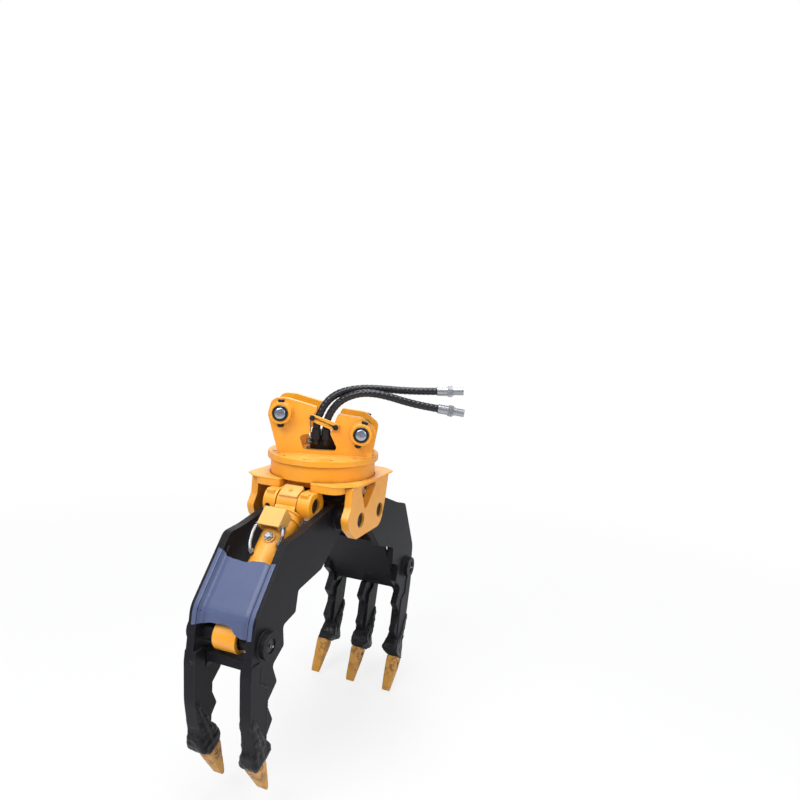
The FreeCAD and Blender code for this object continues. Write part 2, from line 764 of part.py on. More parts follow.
def jaw_tubes(name, place, outside, pin_half):
    inside = outside - tine_thick
    lug_inside = lug_outside - lug_thick - face_gap
    hub = rod_x(0, 0, hub_d, -lug_inside, lug_inside)
    export(name + "_hub_tube", place(hub.cut(rod_x(0, 0, jaw_pin_d + 2 * running_gap, -lug_inside - 1,
                                                   lug_inside + 1))))
    gap_x = rod_eye_width / 2 + 2
    members = [place(cross_bar(inside))]
    for x0, x1 in ((gap_x, inside), (-inside, -gap_x)):
        spacer = rod_x(-rod_pin_out, -rod_pin_down, rod_pin_d + 12, x0, x1)
        members.append(place(spacer.cut(rod_x(-rod_pin_out, -rod_pin_down, rod_pin_d + 2 * running_gap,
                                              x0 - 1, x1 + 1))))
    export(name + "_cross_tubes", *members)
    pin = rod_x(-rod_pin_out, -rod_pin_down, rod_pin_d, -pin_half, pin_half)
    export(name + "_rod_pin", place(pin))


def rod_boss(outside):
    boss = rod_x(-rod_pin_out, -rod_pin_down, rod_boss_d, outside, outside + rod_boss_proud)
    return boss.cut(rod_x(-rod_pin_out, -rod_pin_down, rod_pin_d + 2 * running_gap, outside - 1,
                          outside + rod_boss_proud + 1))


def mirrored(shape):
    return shape.mirror(Vector(0, 0, 0), Vector(1, 0, 0))


def tooth_set(name, place, adapters):
    """Adapters are given at their places; teeth and pins follow the same places."""
    export(name + "_adapters", *[place(shape) for shape, centre in adapters])
    for piece, make in (("teeth", tooth), ("tooth_pins", tooth_pin)):
        shapes = []
        for shape, centre in adapters:
            made = to_tooth_seat(make())
            made.translate(Vector(centre, 0, 0))
            shapes.append(place(made))
        export(name + "_" + piece, *shapes)


def side_adapter(profile, centre, inner, outer):
    """Adapter of a tine whose faces are at inner and outer, with one strap on each face."""
    body = to_tooth_seat(adapter(inner - centre, outer - centre))
    body.translate(Vector(centre, 0, 0))
    reach = across_x(profile, inner - strap_thick - 1, outer + strap_thick + 1)
    straps = []
    for face, thick in ((inner, -strap_thick), (outer, adapter_swell)):
        piece = to_tooth_seat(strap(thick))
        piece.translate(Vector(face, 0, 0))
        straps.append(piece.common(reach))
    return body.fuse(straps)


def build_front_jaw():
    outside = front_plate_outside
    inside = outside - tine_thick
    profile = side_outline()
    plate = bored(side_plate(inside, outside)).fuse(rod_boss(outside))
    plate = plate.fuse(back_strip(profile, inside - strip_inner, outside + strip_outer))
    export("front_tine_right", place_front(plate))
    export("front_tine_left", place_front(mirrored(plate)))
    export("front_guard_plate", place_front(guard_plate(inside)))
    jaw_tubes("front", place_front, outside, outside + rod_boss_proud - 4)
    right = side_adapter(profile, front_tooth_place, inside - strip_inner, outside + strip_outer)
    tooth_set("front", place_front, [(mirrored(right), -front_tooth_place), (right, front_tooth_place)])


def build_rear_jaw():
    outside = rear_plate_outside
    inside = outside - tine_thick
    profile = side_outline()
    plate = bored(side_plate(inside, outside)).fuse(rod_boss(outside))
    plate = plate.fuse(back_strip(profile, inside - strip_inner, outside + strip_outer))
    export("rear_tine_left", place_rear(plate))
    export("rear_tine_right", place_rear(mirrored(plate)))
    half = tine_thick / 2
    profile_middle = middle_outline()
    middle = across_x(profile_middle, -half, half)
    middle = middle.fuse(back_strip(profile_middle, -half - strip_inner, half + strip_inner))
    export("rear_tine_middle", place_rear(middle))
    export("rear_inner_plate", place_rear(inner_plate(inside)))
    jaw_tubes("rear", place_rear, outside, outside + rod_boss_proud - 4)
    side = side_adapter(profile, rear_tooth_place, inside - strip_inner, outside + strip_outer)
    centre = side_adapter(profile_middle, 0, -half - strip_inner, half + strip_inner)
    tooth_set("rear", place_rear, [(mirrored(side), -rear_tooth_place), (centre, 0), (side, rear_tooth_place)])


# Cylinders, drawn hanging straight down from the barrel pin and then swung out
def rod_pin_place(turn):
    turn = math.radians(turn)
    out = rod_pin_out * math.cos(turn) - rod_pin_down * math.sin(turn)
    down = rod_pin_out * math.sin(turn) + rod_pin_down * math.cos(turn)
    return jaw_pin_reach + out, -jaw_pin_level + down


def cylinder_run(closed_more):
    out, down = rod_pin_place(closed_more)
    return out - barrel_pin_reach, down + barrel_pin_level


shortest_reach = math.hypot(*cylinder_run(0.0)) - rest_extension


def build_cylinder(name, closed_more, finish):
    run_out, run_down = cylinder_run(closed_more)
    reach = math.hypot(run_out, run_down)
    swing = math.degrees(math.atan2(run_out, run_down))

    def hung(shape):
        placed = about(shape, Vector(0, 0, 0), Vector(1, 0, 0), -swing)
        placed.translate(Vector(0, -barrel_pin_reach, barrel_pin_level))
        return finish(placed)

    half_eye = barrel_eye_width / 2
    eye = rod_x(0, 0, eye_d, -half_eye, half_eye)
    neck = box(-half_eye, half_eye, -34, 34, -barrel_start, 0)
    base = rod_z(0, 0, barrel_d, -barrel_start - end_wall, -barrel_start + 10)
    spigot = rod_z(0, 0, bore_d, -barrel_start - end_wall - 10, -barrel_start - end_wall)
    eye = eye.fuse([neck, base, spigot]).cut(rod_x(0, 0, barrel_pin_d + 2 * running_gap, -60, 60))
    export(name + "_barrel_eye", hung(eye))
    tube_top = -barrel_start - end_wall
    tube = rod_z(0, 0, barrel_d, -barrel_end, tube_top).cut(rod_z(0, 0, bore_d, -barrel_end - 1, tube_top + 1))
    ports = []
    for z in (tube_top - 24, -barrel_end + 26):
        ports.append(rod_y(0, z, 34, -barrel_d / 2 - 12, -bore_d / 2 - 3))
    export(name + "_barrel", hung(tube.fuse(ports)))
    gland = rod_z(0, 0, barrel_d, -barrel_end - gland_length, -barrel_end)
    gland = gland.fuse(rod_z(0, 0, bore_d - 2 * running_gap, -barrel_end, -barrel_end + 24))
    gland = gland.cut(rod_z(0, 0, rod_d + 2 * running_gap, -barrel_end - gland_length - 1, -barrel_end + 30))
    export(name + "_gland", hung(gland))
    retract = reach - shortest_reach
    piston_back = -barrel_start - end_wall - 14 - retract
    piston = rod_z(0, 0, bore_d - 2 * running_gap, piston_back - piston_length, piston_back)
    piston = piston.cut(rod_z(0, 0, rod_d - 10, piston_back - piston_length - 1, piston_back + 1))
    export(name + "_piston", hung(piston))
    rod = rod_z(0, 0, rod_d, -reach + rod_eye_d / 2 + 14, piston_back - piston_length)
    rod = rod.fuse(rod_z(0, 0, rod_d - 10, piston_back - piston_length, piston_back))
    export(name + "_rod", hung(rod))
    half = rod_eye_width / 2
    rod_eye = rod_x(0, -reach, rod_eye_d, -half, half)
    rod_eye = rod_eye.fuse(rod_z(0, 0, 64, -reach, -reach + rod_eye_d / 2 + 14))
    rod_eye = rod_eye.cut(rod_x(0, -reach, rod_pin_d + 2 * rod_eye_clearance, -half - 1, half + 1))
    export(name + "_rod_eye", hung(rod_eye))
    guard_out = -barrel_d / 2 - 30
    guard_low = tube_top - 56
    cover = box(-port_guard_half, port_guard_half, guard_out, guard_out + guard_thick, guard_low, tube_top + 6)
    cheeks = [box(x, x + guard_thick, guard_out + 4, -14, guard_low, tube_top + 6)
              for x in (-port_guard_half, port_guard_half - guard_thick)]
    guard = cover.fuse(cheeks).cut(rod_z(0, 0, barrel_d, -barrel_end, 0))
    export(name + "_port_guard", hung(guard))


build_bracket()
build_slewing()
build_swivel()
build_hoses()
build_turntable()
build_front_jaw()
build_rear_jaw()
build_cylinder("front", 0.0, lambda shape: shape)
build_cylinder("rear", rear_closed_more, half_turn)
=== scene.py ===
"""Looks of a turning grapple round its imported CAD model: finishes, welds, teeth, hoses and fittings."""

import json
import math
import random

import bmesh
import bpy
from bpy.props import FloatProperty, FloatVectorProperty, IntProperty, PointerProperty
from mathutils import Euler, Matrix, Vector


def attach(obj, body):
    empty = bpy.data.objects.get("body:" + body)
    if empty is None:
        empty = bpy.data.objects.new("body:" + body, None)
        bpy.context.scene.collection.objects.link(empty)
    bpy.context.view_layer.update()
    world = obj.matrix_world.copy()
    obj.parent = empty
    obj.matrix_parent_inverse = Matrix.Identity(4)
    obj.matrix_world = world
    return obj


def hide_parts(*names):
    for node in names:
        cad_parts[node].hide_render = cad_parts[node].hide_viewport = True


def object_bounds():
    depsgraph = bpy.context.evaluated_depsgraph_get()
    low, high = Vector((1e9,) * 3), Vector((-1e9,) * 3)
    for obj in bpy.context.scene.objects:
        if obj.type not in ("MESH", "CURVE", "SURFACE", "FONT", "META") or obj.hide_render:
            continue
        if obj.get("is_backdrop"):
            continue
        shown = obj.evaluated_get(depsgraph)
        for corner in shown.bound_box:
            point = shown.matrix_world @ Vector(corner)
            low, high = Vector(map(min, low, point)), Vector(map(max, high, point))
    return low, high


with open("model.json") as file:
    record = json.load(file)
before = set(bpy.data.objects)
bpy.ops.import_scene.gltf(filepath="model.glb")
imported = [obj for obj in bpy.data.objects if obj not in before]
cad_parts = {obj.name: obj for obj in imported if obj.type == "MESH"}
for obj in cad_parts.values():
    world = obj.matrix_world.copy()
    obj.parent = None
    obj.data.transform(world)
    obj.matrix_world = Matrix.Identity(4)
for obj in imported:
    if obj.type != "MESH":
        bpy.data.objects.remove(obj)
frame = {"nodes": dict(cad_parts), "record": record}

bl_info = {
    "name": "Turning grapple looks",
    "version": (1, 0, 0),
    "blender": (4, 5, 0),
    "location": "View3D > Sidebar > Grapple",
    "description": "Builds the paint, teeth, welds, hoses and fittings of a turning grapple round its CAD frame",
    "category": "Object",
}

MM = 0.001
FOCAL_PIXELS = 665.0
PHOTO_PIXELS = 800.0
SIDES = ("front", "rear")

# Places that repeat the part's source, in its millimetres
BRACKET_TURN = math.radians(22.0)
HOSE_A = [(-18, -79.2, -22), (-18, -79.2, 2), (-9, -79.2, 28), (3, -78, 55), (24, -75, 82), (57, -72, 103),
          (99, -70, 115), (148, -69, 120), (200, -69, 120), (255, -70, 118), (315, -72, 119), (372, -75, 122)]
HOSE_B = [(13, -79.2, -22), (13, -79.2, 0), (21, -79.2, 24), (35, -82, 50), (58, -88, 76), (91, -93, 95),
          (130, -97, 106), (172, -99, 106), (218, -100, 98), (265, -101, 86), (320, -101, 75),
          (376, -101, 68)]
HOSE_CORE = 0.90
JAW_PIN = {"front": (-75.0, -306.0), "rear": (75.0, -306.0)}
JAW_SIGN = {"front": -1.0, "rear": 1.0}
JAW_TURN = {"front": 0.0, "rear": math.radians(10.0)}
CYLINDER_SWING = {"front": math.radians(44.167), "rear": math.radians(33.53)}
TOOTH_LEAN = math.radians(24.0)
TOOTH_SEAT = (420.0, 592.0)
TINE_OUTSIDE = {"front": 109.5, "rear": 159.5}
TINE_THICK = 25.0
COUPLER_PINS = ((-132, 28.5), (132, -28.5))
BARREL_PIN = (-190.0, -250.0)
ROD_PIN = (420.0, 258.0)
ROD_REACH = {"front": 437.74, "rear": 459.46}
# Each tooth: its middle, then the inner and outer face of the tine above it
TEETH = {"front": ((-78.0, -75.5, -112.5), (78.0, 75.5, 112.5)),
         "rear": ((-157.0, -125.5, -162.5), (0.0, 21.5, -21.5), (157.0, 125.5, 162.5))}
STRAP_THICK = 20.0
SWELL = 10.0
PIPE_RADIUS = 0.0055
# Weld lines of a jaw, outward and downward from its pin
TINE_WELD = [(440, 312), (440, 364), (406, 390), (404, 420), (404, 475), (405, 560)]
BAR_WELD = [(395, 315), (433, 315), (433, 343)]
PLATE_WELD = {"front": [(328, 37), (460, 190)], "rear": [(256, 178), (386, 316)]}
# Front edge of a front tine's arm, outward and downward from the jaw pin, and the guard's two edges along it
GUARD_EDGE = [(334.2, 9.4), (455.5, 160.5), (463.0, 172.0), (469.4, 189.4), (473.0, 219.0), (478.0, 258.0)]
GUARD_RISE = [(-100, 1.2), (-86, 1.2), (-83.5, -3), (-80, -13), (-76, -15), (-70, -14), (-60, -12.5),
              (60, -12.5), (74, -14), (80, -11), (84, -2), (87, 1.2), (100, 1.2)]
GUARD_TOP = [(-100, 36), (-84, 40), (-72, 52), (-40, 56), (-5, 58), (25, 50), (55, 48), (84, 53), (100, 50)]
GUARD_FOOT = [(-100, 262), (-84, 258), (-40, 248), (6, 245), (24, 251), (38, 265), (56, 272), (72, 272),
              (100, 266)]
# Edge of the turntable's top plate, from its notch round one side to the other notch
DECK_EDGE = [(57, -187.5), (118, -187.5), (140, -185), (154, -176), (196, -132), (200, -124), (200, 144),
             (196, 154), (166, 178), (150, 185), (136, 187.5), (57, 187.5)]
DECK_HOLE = 179.2
DECK_TOP, DECK_FOOT = -180.6, -184.9
# Rear jaw's inner plate, outward and downward from the jaw pin
INNER_PLATE = [(206.0, 134.0), (251.0, 179.0), (392.0, 322.0)]


class GrapplePaint(bpy.types.PropertyGroup):
    """Colours of the finishes."""
    frame_paint: FloatVectorProperty(
        name="Frame paint", description="Orange yellow paint of the bracket, ring, turntable and cylinders",
        subtype="COLOR", size=3, min=0, max=1, default=(0.94, 0.385, 0.022))
    jaw_paint: FloatVectorProperty(
        name="Jaw paint", description="Black paint of the jaws", subtype="COLOR", size=3, min=0, max=1,
        default=(0.010, 0.010, 0.013))
    # The guard's blue grey is a painted reflection: the sky seen in black paint, laid into the base colour.
    guard_paint: FloatVectorProperty(
        name="Guard paint with painted sky reflection", description="Blue grey paint of the folded guard over the rod", subtype="COLOR",
        size=3, min=0, max=1, default=(0.082, 0.108, 0.215))
    tooth_paint: FloatVectorProperty(
        name="Tooth primer", description="Tan primer of the cast teeth", subtype="COLOR",
        size=3, min=0, max=1, default=(0.64, 0.325, 0.075))
    dust: FloatVectorProperty(
        name="Dust", description="Dry earth that settles on faces that look up", subtype="COLOR", size=3,
        min=0, max=1, default=(0.42, 0.33, 0.22))


class GrappleSizes(bpy.types.PropertyGroup):
    """Sizes of the pieces that are built here."""
    hose_diameter: FloatProperty(
        name="Hose diameter", description="Outside of a supply hose", subtype="DISTANCE", unit="LENGTH",
        default=25 * MM, min=0.01, max=0.05)
    guard_pitch: FloatProperty(
        name="Spiral guard pitch", description="Length of hose that one turn of the guard covers",
        subtype="DISTANCE", unit="LENGTH", default=15 * MM, min=0.005, max=0.05)
    weld_leg: FloatProperty(
        name="Weld size", description="Half width of a weld bead", subtype="DISTANCE", unit="LENGTH",
        default=4.2 * MM, min=0.001, max=0.01)
    edge_round: FloatProperty(
        name="Plate edge rounding", description="Rounding of the cut edges of plates", subtype="DISTANCE",
        unit="LENGTH", default=1.6 * MM, min=0, max=0.005)
    tooth_length: FloatProperty(
        name="Tooth length", description="From the tooth's seat to its tip", subtype="DISTANCE",
        unit="LENGTH", default=155 * MM, min=0.05, max=0.3)
    tooth_width: FloatProperty(
        name="Tooth width", description="Width of a tooth at its socket", subtype="DISTANCE", unit="LENGTH",
        default=46 * MM, min=0.02, max=0.1)
    floor_size: FloatProperty(
        name="Floor size", description="Radius of the floor disc", subtype="DISTANCE", unit="LENGTH",
        default=40.0, min=2, max=100)


def paint():
    return bpy.context.scene.grapple_paint


def sizes():
    return bpy.context.scene.grapple_sizes


# Shader groups
def socket_kind(value):
    if isinstance(value, (tuple, list)):
        return "NodeSocketColor" if len(value) == 4 else "NodeSocketVector"
    return "NodeSocketFloat"


def start_group(name, inputs, outputs):
    """New shader group with named sockets: inputs map to defaults, outputs to an example of their kind."""
    tree = bpy.data.node_groups.new(name, "ShaderNodeTree")
    for label, value in inputs.items():
        socket = tree.interface.new_socket(label, in_out="INPUT", socket_type=socket_kind(value))
        socket.default_value = value
    for label, value in outputs.items():
        tree.interface.new_socket(label, in_out="OUTPUT", socket_type=socket_kind(value))
    return tree, tree.nodes.new("NodeGroupInput"), tree.nodes.new("NodeGroupOutput")


def feed(tree, node, values):
    """Joins or sets inputs: values map an input's name or number to an output socket or a value."""
    for key, value in values.items():
        if isinstance(value, bpy.types.NodeSocket):
            tree.links.new(value, node.inputs[key])
        else:
            node.inputs[key].default_value = value


def put(tree, kind, values=None, **fields):
    """Adds a node, sets its fields and feeds its inputs."""
    made = tree.nodes.new("ShaderNode" + kind)
    for key, value in fields.items():
        setattr(made, key, value)
    feed(tree, made, values or {})
    return made


def calc(tree, operation, a, b=0.0, clamp=False):
    return put(tree, "Math", {0: a, 1: b}, operation=operation, use_clamp=clamp).outputs[0]


def times(tree, a, b, clamp=False):
    return calc(tree, "MULTIPLY", a, b, clamp)


def seen_directly(tree):
    """1 for rays that come straight from the camera, 0 for light that bounces."""
    seen = put(tree, "LightPath").outputs
    return calc(tree, "MAXIMUM", seen["Is Camera Ray"], seen["Is Transmission Ray"])


def blend_colour(tree, share, a, b):
    return put(tree, "Mix", {0: share, 6: a, 7: b}, data_type="RGBA").outputs[2]


def blend_value(tree, share, a, b):
    return put(tree, "Mix", {0: share, 2: a, 3: b}, data_type="FLOAT").outputs[0]


def ramp(tree, value, low, high):
    """Smooth step from 0 at low to 1 at high."""
    made = put(tree, "MapRange", {"Value": value, "From Min": low, "From Max": high},
               interpolation_type="SMOOTHSTEP")
    return made.outputs["Result"]


def noise(tree, place, scale, detail=4.0, rough=0.55, stretch=None):
    if stretch:
        place = put(tree, "Mapping", {"Vector": place, "Scale": stretch}).outputs[0]
    return put(tree, "TexNoise", {"Vector": place, "Scale": scale, "Detail": detail, "Roughness": rough})


def edge_wear_group():
    """Mask of the edges where paint has rubbed off, ragged and broken up."""
    tree, given, out = start_group("Rubbed edges", {"Width": 0.003, "Amount": 0.5, "Grain": 90.0},
                                   {"Mask": 0.0})
    rounded = put(tree, "Bevel", {"Radius": given.outputs["Width"]}, samples=6)
    face = put(tree, "NewGeometry")
    along = put(tree, "VectorMath", {0: rounded.outputs[0], 1: face.outputs["Normal"]},
                operation="DOT_PRODUCT")
    bend = calc(tree, "SUBTRACT", 1.0, along.outputs["Value"])
    place = put(tree, "TexCoord").outputs["Object"]
    fine = noise(tree, place, given.outputs["Grain"], 5.0, 0.65).outputs["Fac"]
    broad = noise(tree, place, 9.0, 2.0).outputs["Fac"]
    ragged = times(tree, fine, calc(tree, "ADD", broad, 0.25))
    worn = calc(tree, "ADD", times(tree, bend, 2.4), calc(tree, "SUBTRACT", ragged, 0.62))
    mask = times(tree, ramp(tree, worn, 0.02, 0.16), given.outputs["Amount"], clamp=True)
    tree.links.new(mask, out.inputs["Mask"])
    return tree


def scuff_group():
    """Mask of thin random scratches and small chips, from stretched noise in two directions."""
    tree, given, out = start_group("Scuffs", {"Scale": 14.0, "Amount": 0.5}, {"Mask": 0.0, "Chips": 0.0})
    place = put(tree, "TexCoord").outputs["Object"]
    lines = []
    for turn, stretch in (((0.3, 0.5, 0.2), (1.0, 1.0, 16.0)), ((1.1, 0.2, 0.9), (1.0, 14.0, 1.0))):
        turned = put(tree, "Mapping", {"Vector": place, "Rotation": turn, "Scale": stretch}).outputs[0]
        streak = put(tree, "TexNoise", {"Vector": turned, "Scale": given.outputs["Scale"], "Detail": 3.0})
        lines.append(ramp(tree, streak.outputs["Fac"], 0.66, 0.72))
    patch = ramp(tree, noise(tree, place, 6.0, 3.0).outputs["Fac"], 0.48, 0.66)
    both = times(tree, calc(tree, "MAXIMUM", lines[0], lines[1]), patch)
    tree.links.new(times(tree, both, given.outputs["Amount"], clamp=True), out.inputs["Mask"])
    spots = put(tree, "TexVoronoi", {"Vector": place, "Scale": times(tree, given.outputs["Scale"], 5.0)})
    chipped = calc(tree, "SUBTRACT", 1.0, ramp(tree, spots.outputs["Distance"], 0.05, 0.12))
    where = ramp(tree, noise(tree, place, 11.0, 4.0).outputs["Fac"], 0.60, 0.70)
    chips = times(tree, times(tree, chipped, where), given.outputs["Amount"], clamp=True)
    tree.links.new(chips, out.inputs["Chips"])
    return tree


def corner_shade_and_dust_group():
    """Mask of painted shade in corners, where ambient occlusion finds the surface closed in, and of dust on
    faces that look up, which some finishes tint pale as a painted highlight of the top faces.
    """
    tree, given, out = start_group("Corner shade and dust", {"Reach": 0.03, "Corners": 0.5, "Settled": 0.3},
                                   {"Corners": 0.0, "Dust": 0.0})
    place = put(tree, "TexCoord")
    # Painted shade: the corner mask darkens wherever ambient occlusion is deep, broken up by noise.
    shut = put(tree, "AmbientOcclusion", {"Distance": given.outputs["Reach"]}, samples=6)
    spread = noise(tree, place.outputs["Object"], 22.0, 5.0, 0.6).outputs["Fac"]
    deep = calc(tree, "SUBTRACT", 1.0, shut.outputs["AO"])
    corner = ramp(tree, times(tree, deep, calc(tree, "ADD", spread, 0.45)), 0.18, 0.75)
    tree.links.new(times(tree, corner, given.outputs["Corners"], clamp=True), out.inputs["Corners"])
    # Faces that look up, in clouds: the mask for dust, which with a pale tint is a painted highlight of the top
    # faces.
    up = put(tree, "SeparateXYZ", {0: place.outputs["Normal"]}).outputs["Z"]
    lying = ramp(tree, up, 0.25, 0.95)
    cloud = ramp(tree, noise(tree, place.outputs["Object"], 30.0, 6.0, 0.7).outputs["Fac"], 0.30, 0.75)
    dust = times(tree, times(tree, lying, cloud), given.outputs["Settled"], clamp=True)
    tree.links.new(dust, out.inputs["Dust"])
    return tree


def tone_group():
    """Paint whose colour drifts a little in broad patches, with the height of its orange peel."""
    tree, given, out = start_group("Paint tone",
                                   {"Colour": (0.8, 0.4, 0.1, 1.0), "Drift": 0.12, "Peel": 900.0},
                                   {"Colour": (0.0, 0.0, 0.0, 1.0), "Height": 0.0})
    place = put(tree, "TexCoord").outputs["Object"]
    broad = noise(tree, place, 5.0, 3.0).outputs["Fac"]
    shift = times(tree, calc(tree, "SUBTRACT", broad, 0.5), given.outputs["Drift"])
    tint = put(tree, "HueSaturation", {"Color": given.outputs["Colour"],
                                       "Value": calc(tree, "ADD", times(tree, shift, 1.6), 1.0),
                                       "Saturation": calc(tree, "SUBTRACT", 1.0, shift)})
    tree.links.new(tint.outputs[0], out.inputs["Colour"])
    skin = noise(tree, place, given.outputs["Peel"], 2.0).outputs["Fac"]
    tree.links.new(skin, out.inputs["Height"])
    return tree


def cast_group():
    """Height of a sand casting: grains, soft lumps and a few pits."""
    tree, given, out = start_group("Cast skin", {"Grain": 420.0, "Lumps": 38.0},
                                   {"Height": 0.0, "Stain": 0.0})
    place = put(tree, "TexCoord").outputs["Object"]
    grain = noise(tree, place, given.outputs["Grain"], 4.0, 0.7).outputs["Fac"]
    lumps = noise(tree, place, given.outputs["Lumps"], 3.0).outputs["Fac"]
    pits = put(tree, "TexVoronoi", {"Vector": place, "Scale": 160.0}).outputs["Distance"]
    holes = ramp(tree, pits, 0.02, 0.22)
    height = calc(tree, "ADD", times(tree, grain, 0.35), times(tree, lumps, 0.75))
    tree.links.new(calc(tree, "ADD", height, times(tree, holes, 0.18)), out.inputs["Height"])
    stain = ramp(tree, noise(tree, place, 26.0, 6.0, 0.68).outputs["Fac"], 0.52, 0.68)
    tree.links.new(stain, out.inputs["Stain"])
    return tree


GROUP_MAKERS = {"wear": edge_wear_group, "scuff": scuff_group, "corner_shade_and_dust": corner_shade_and_dust_group, "tone": tone_group,
                "cast": cast_group}
BARE_METAL = 0.8
# Pale tint laid on the yellow paint's faces that look up: a painted highlight that makes the top faces paler.
TOP_LIGHT_TINT = (0.97, 0.66, 0.28)
groups = {}
finishes = {}


def place_group(tree, key, **values):
    if key not in groups:
        groups[key] = GROUP_MAKERS[key]()
    made = tree.nodes.new("ShaderNodeGroup")
    made.node_tree = groups[key]
    for label, value in values.items():
        made.inputs[label].default_value = value
    return made.outputs


def start_material(name):
    material = bpy.data.materials.new(name)
    material.use_nodes = True
    return material, material.node_tree, material.node_tree.nodes["Principled BSDF"]


def opaque(colour):
    return (colour[0], colour[1], colour[2], 1.0)


def raise_surface(tree, shader, height, strength, distance):
    bump = put(tree, "Bump", {"Height": height, "Strength": strength, "Distance": distance})
    feed(tree, shader, {"Normal": bump.outputs[0]})


def painted(name, colour, under, rough, wear=0.6, scuff=0.5, corners=0.5, dust=0.25, coat=0.15, drift=0.12,
            shine=0.5, dust_and_top_light=None):
    """Sprayed machine paint with rubbed edges, scratches, painted shade in the corners and dust on top, which
    with a pale tint is a painted highlight of faces that look up.
    """
    material, tree, shader = start_material(name)
    tone = place_group(tree, "tone", Colour=opaque(colour), Drift=drift)
    rubbed = place_group(tree, "wear", Amount=wear)["Mask"]
    marks = place_group(tree, "scuff", Amount=scuff)
    # The corners amount sets how strongly corners take painted shade.
    shade_and_dust = place_group(tree, "corner_shade_and_dust", Corners=corners, Settled=dust)
    bare = calc(tree, "MAXIMUM", rubbed, marks["Chips"])
    scratched = blend_colour(tree, times(tree, marks["Mask"], 0.35), tone["Colour"],
                             opaque([0.6 * c + 0.25 for c in colour]))
    stripped = blend_colour(tree, bare, scratched, opaque(under))
    # Painted shade: the paint turns near black where ambient occlusion finds a corner.
    darkened = blend_colour(tree, shade_and_dust["Corners"], stripped, (0.035, 0.026, 0.018, 1.0))
    # Faces that look up take the dust colour; where the pale tint is given, as for the yellow paint, this is a
    # painted highlight of the top faces.
    dusted_and_top_lit = blend_colour(tree, shade_and_dust["Dust"], darkened, opaque(dust_and_top_light or paint().dust))
    dull = calc(tree, "MAXIMUM", shade_and_dust["Corners"], shade_and_dust["Dust"])
    worn_rough = blend_value(tree, marks["Mask"], rough, min(1.0, rough + 0.25))
    feed(tree, shader, {"Base Color": dusted_and_top_lit, "Metallic": times(tree, bare, BARE_METAL),
                        "Roughness": blend_value(tree, dull, worn_rough, 0.85),
                        "Specular IOR Level": shine, "Coat Weight": coat, "Coat Roughness": 0.18})
    cut = calc(tree, "SUBTRACT", tone["Height"], times(tree, bare, 1.5))
    raise_surface(tree, shader, cut, 0.22, 0.0006)
    return material


def steel(name, colour, rough, brush=(1.0, 1.0, 1.0), metal=1.0, corners=0.5, drift=0.2):
    """Bare or blued steel with fine tool lines, stains and painted shade in the corners."""
    material, tree, shader = start_material(name)
    place = put(tree, "TexCoord").outputs["Object"]
    lines = noise(tree, place, 260.0, 3.0, 0.6, stretch=brush).outputs["Fac"]
    tone = place_group(tree, "tone", Colour=opaque(colour), Drift=drift)
    shade_and_dust = place_group(tree, "corner_shade_and_dust", Corners=corners, Settled=0.08, Reach=0.02)
    # Painted shade: the steel turns near black where ambient occlusion finds a corner; the corners amount sets
    # how much.
    corner_shaded = blend_colour(tree, shade_and_dust["Corners"], tone["Colour"], (0.02, 0.016, 0.012, 1.0))
    feed(tree, shader, {"Base Color": corner_shaded, "Metallic": metal,
                        "Roughness": blend_value(tree, lines, rough * 0.7, min(1.0, rough * 1.4))})
    raise_surface(tree, shader, lines, 0.12, 0.0004)
    return material


def cast_tooth_finish(name, colour):
    """Tan primer on a rough casting, brown where it has stained and bare where it has dug."""
    material, tree, shader = start_material(name)
    skin = place_group(tree, "cast")
    tone = place_group(tree, "tone", Colour=opaque(colour), Drift=0.5)
    rubbed = place_group(tree, "wear", Amount=0.75, Width=0.004)["Mask"]
    marks = place_group(tree, "scuff", Amount=0.7, Scale=24.0)
    socket = put(tree, "Attribute", attribute_name="socket_share").outputs["Fac"]
    place = put(tree, "TexCoord").outputs["Object"]
    blots = ramp(tree, noise(tree, place, 34.0, 5.0, 0.7).outputs["Fac"], 0.46, 0.60)
    soiled = times(tree, blots, ramp(tree, socket, 0.15, 0.75))
    darkened = calc(tree, "MAXIMUM", times(tree, skin["Stain"], 0.6),
                 times(tree, soiled, 0.9))
    stained = blend_colour(tree, darkened, tone["Colour"], (0.17, 0.075, 0.03, 1.0))
    scratched = blend_colour(tree, times(tree, marks["Mask"], 0.5), stained,
                             (0.72, 0.50, 0.28, 1.0))
    bare = calc(tree, "MAXIMUM", rubbed, marks["Chips"])
    feed(tree, shader, {"Base Color": blend_colour(tree, bare, scratched, (0.34, 0.27, 0.20, 1.0)),
                        "Metallic": times(tree, bare, 0.6),
                        "Roughness": blend_value(tree, skin["Stain"], 0.55, 0.75)})
    raise_surface(tree, shader, skin["Height"], 0.6, 0.0012)
    return material


def cast_black_finish(name, colour):
    """Black paint on a lumpy casting or weld, glossier in random patches."""
    material, tree, shader = start_material(name)
    skin = place_group(tree, "cast", Lumps=55.0)
    tone = place_group(tree, "tone", Colour=opaque(colour), Drift=0.3)
    rubbed = place_group(tree, "wear", Amount=0.55, Width=0.0035)["Mask"]
    shade_and_dust = place_group(tree, "corner_shade_and_dust", Corners=0.3, Settled=0.06)
    worn = blend_colour(tree, rubbed, tone["Colour"], (0.13, 0.135, 0.16, 1.0))
    feed(tree, shader, {"Base Color": blend_colour(tree, shade_and_dust["Dust"], worn, opaque(paint().dust)),
                        "Metallic": times(tree, rubbed, 0.7),
                        "Roughness": blend_value(tree, skin["Stain"], 0.30, 0.48),
                        "Specular IOR Level": 0.2})
    raise_surface(tree, shader, skin["Height"], 0.55, 0.0014)
    return material


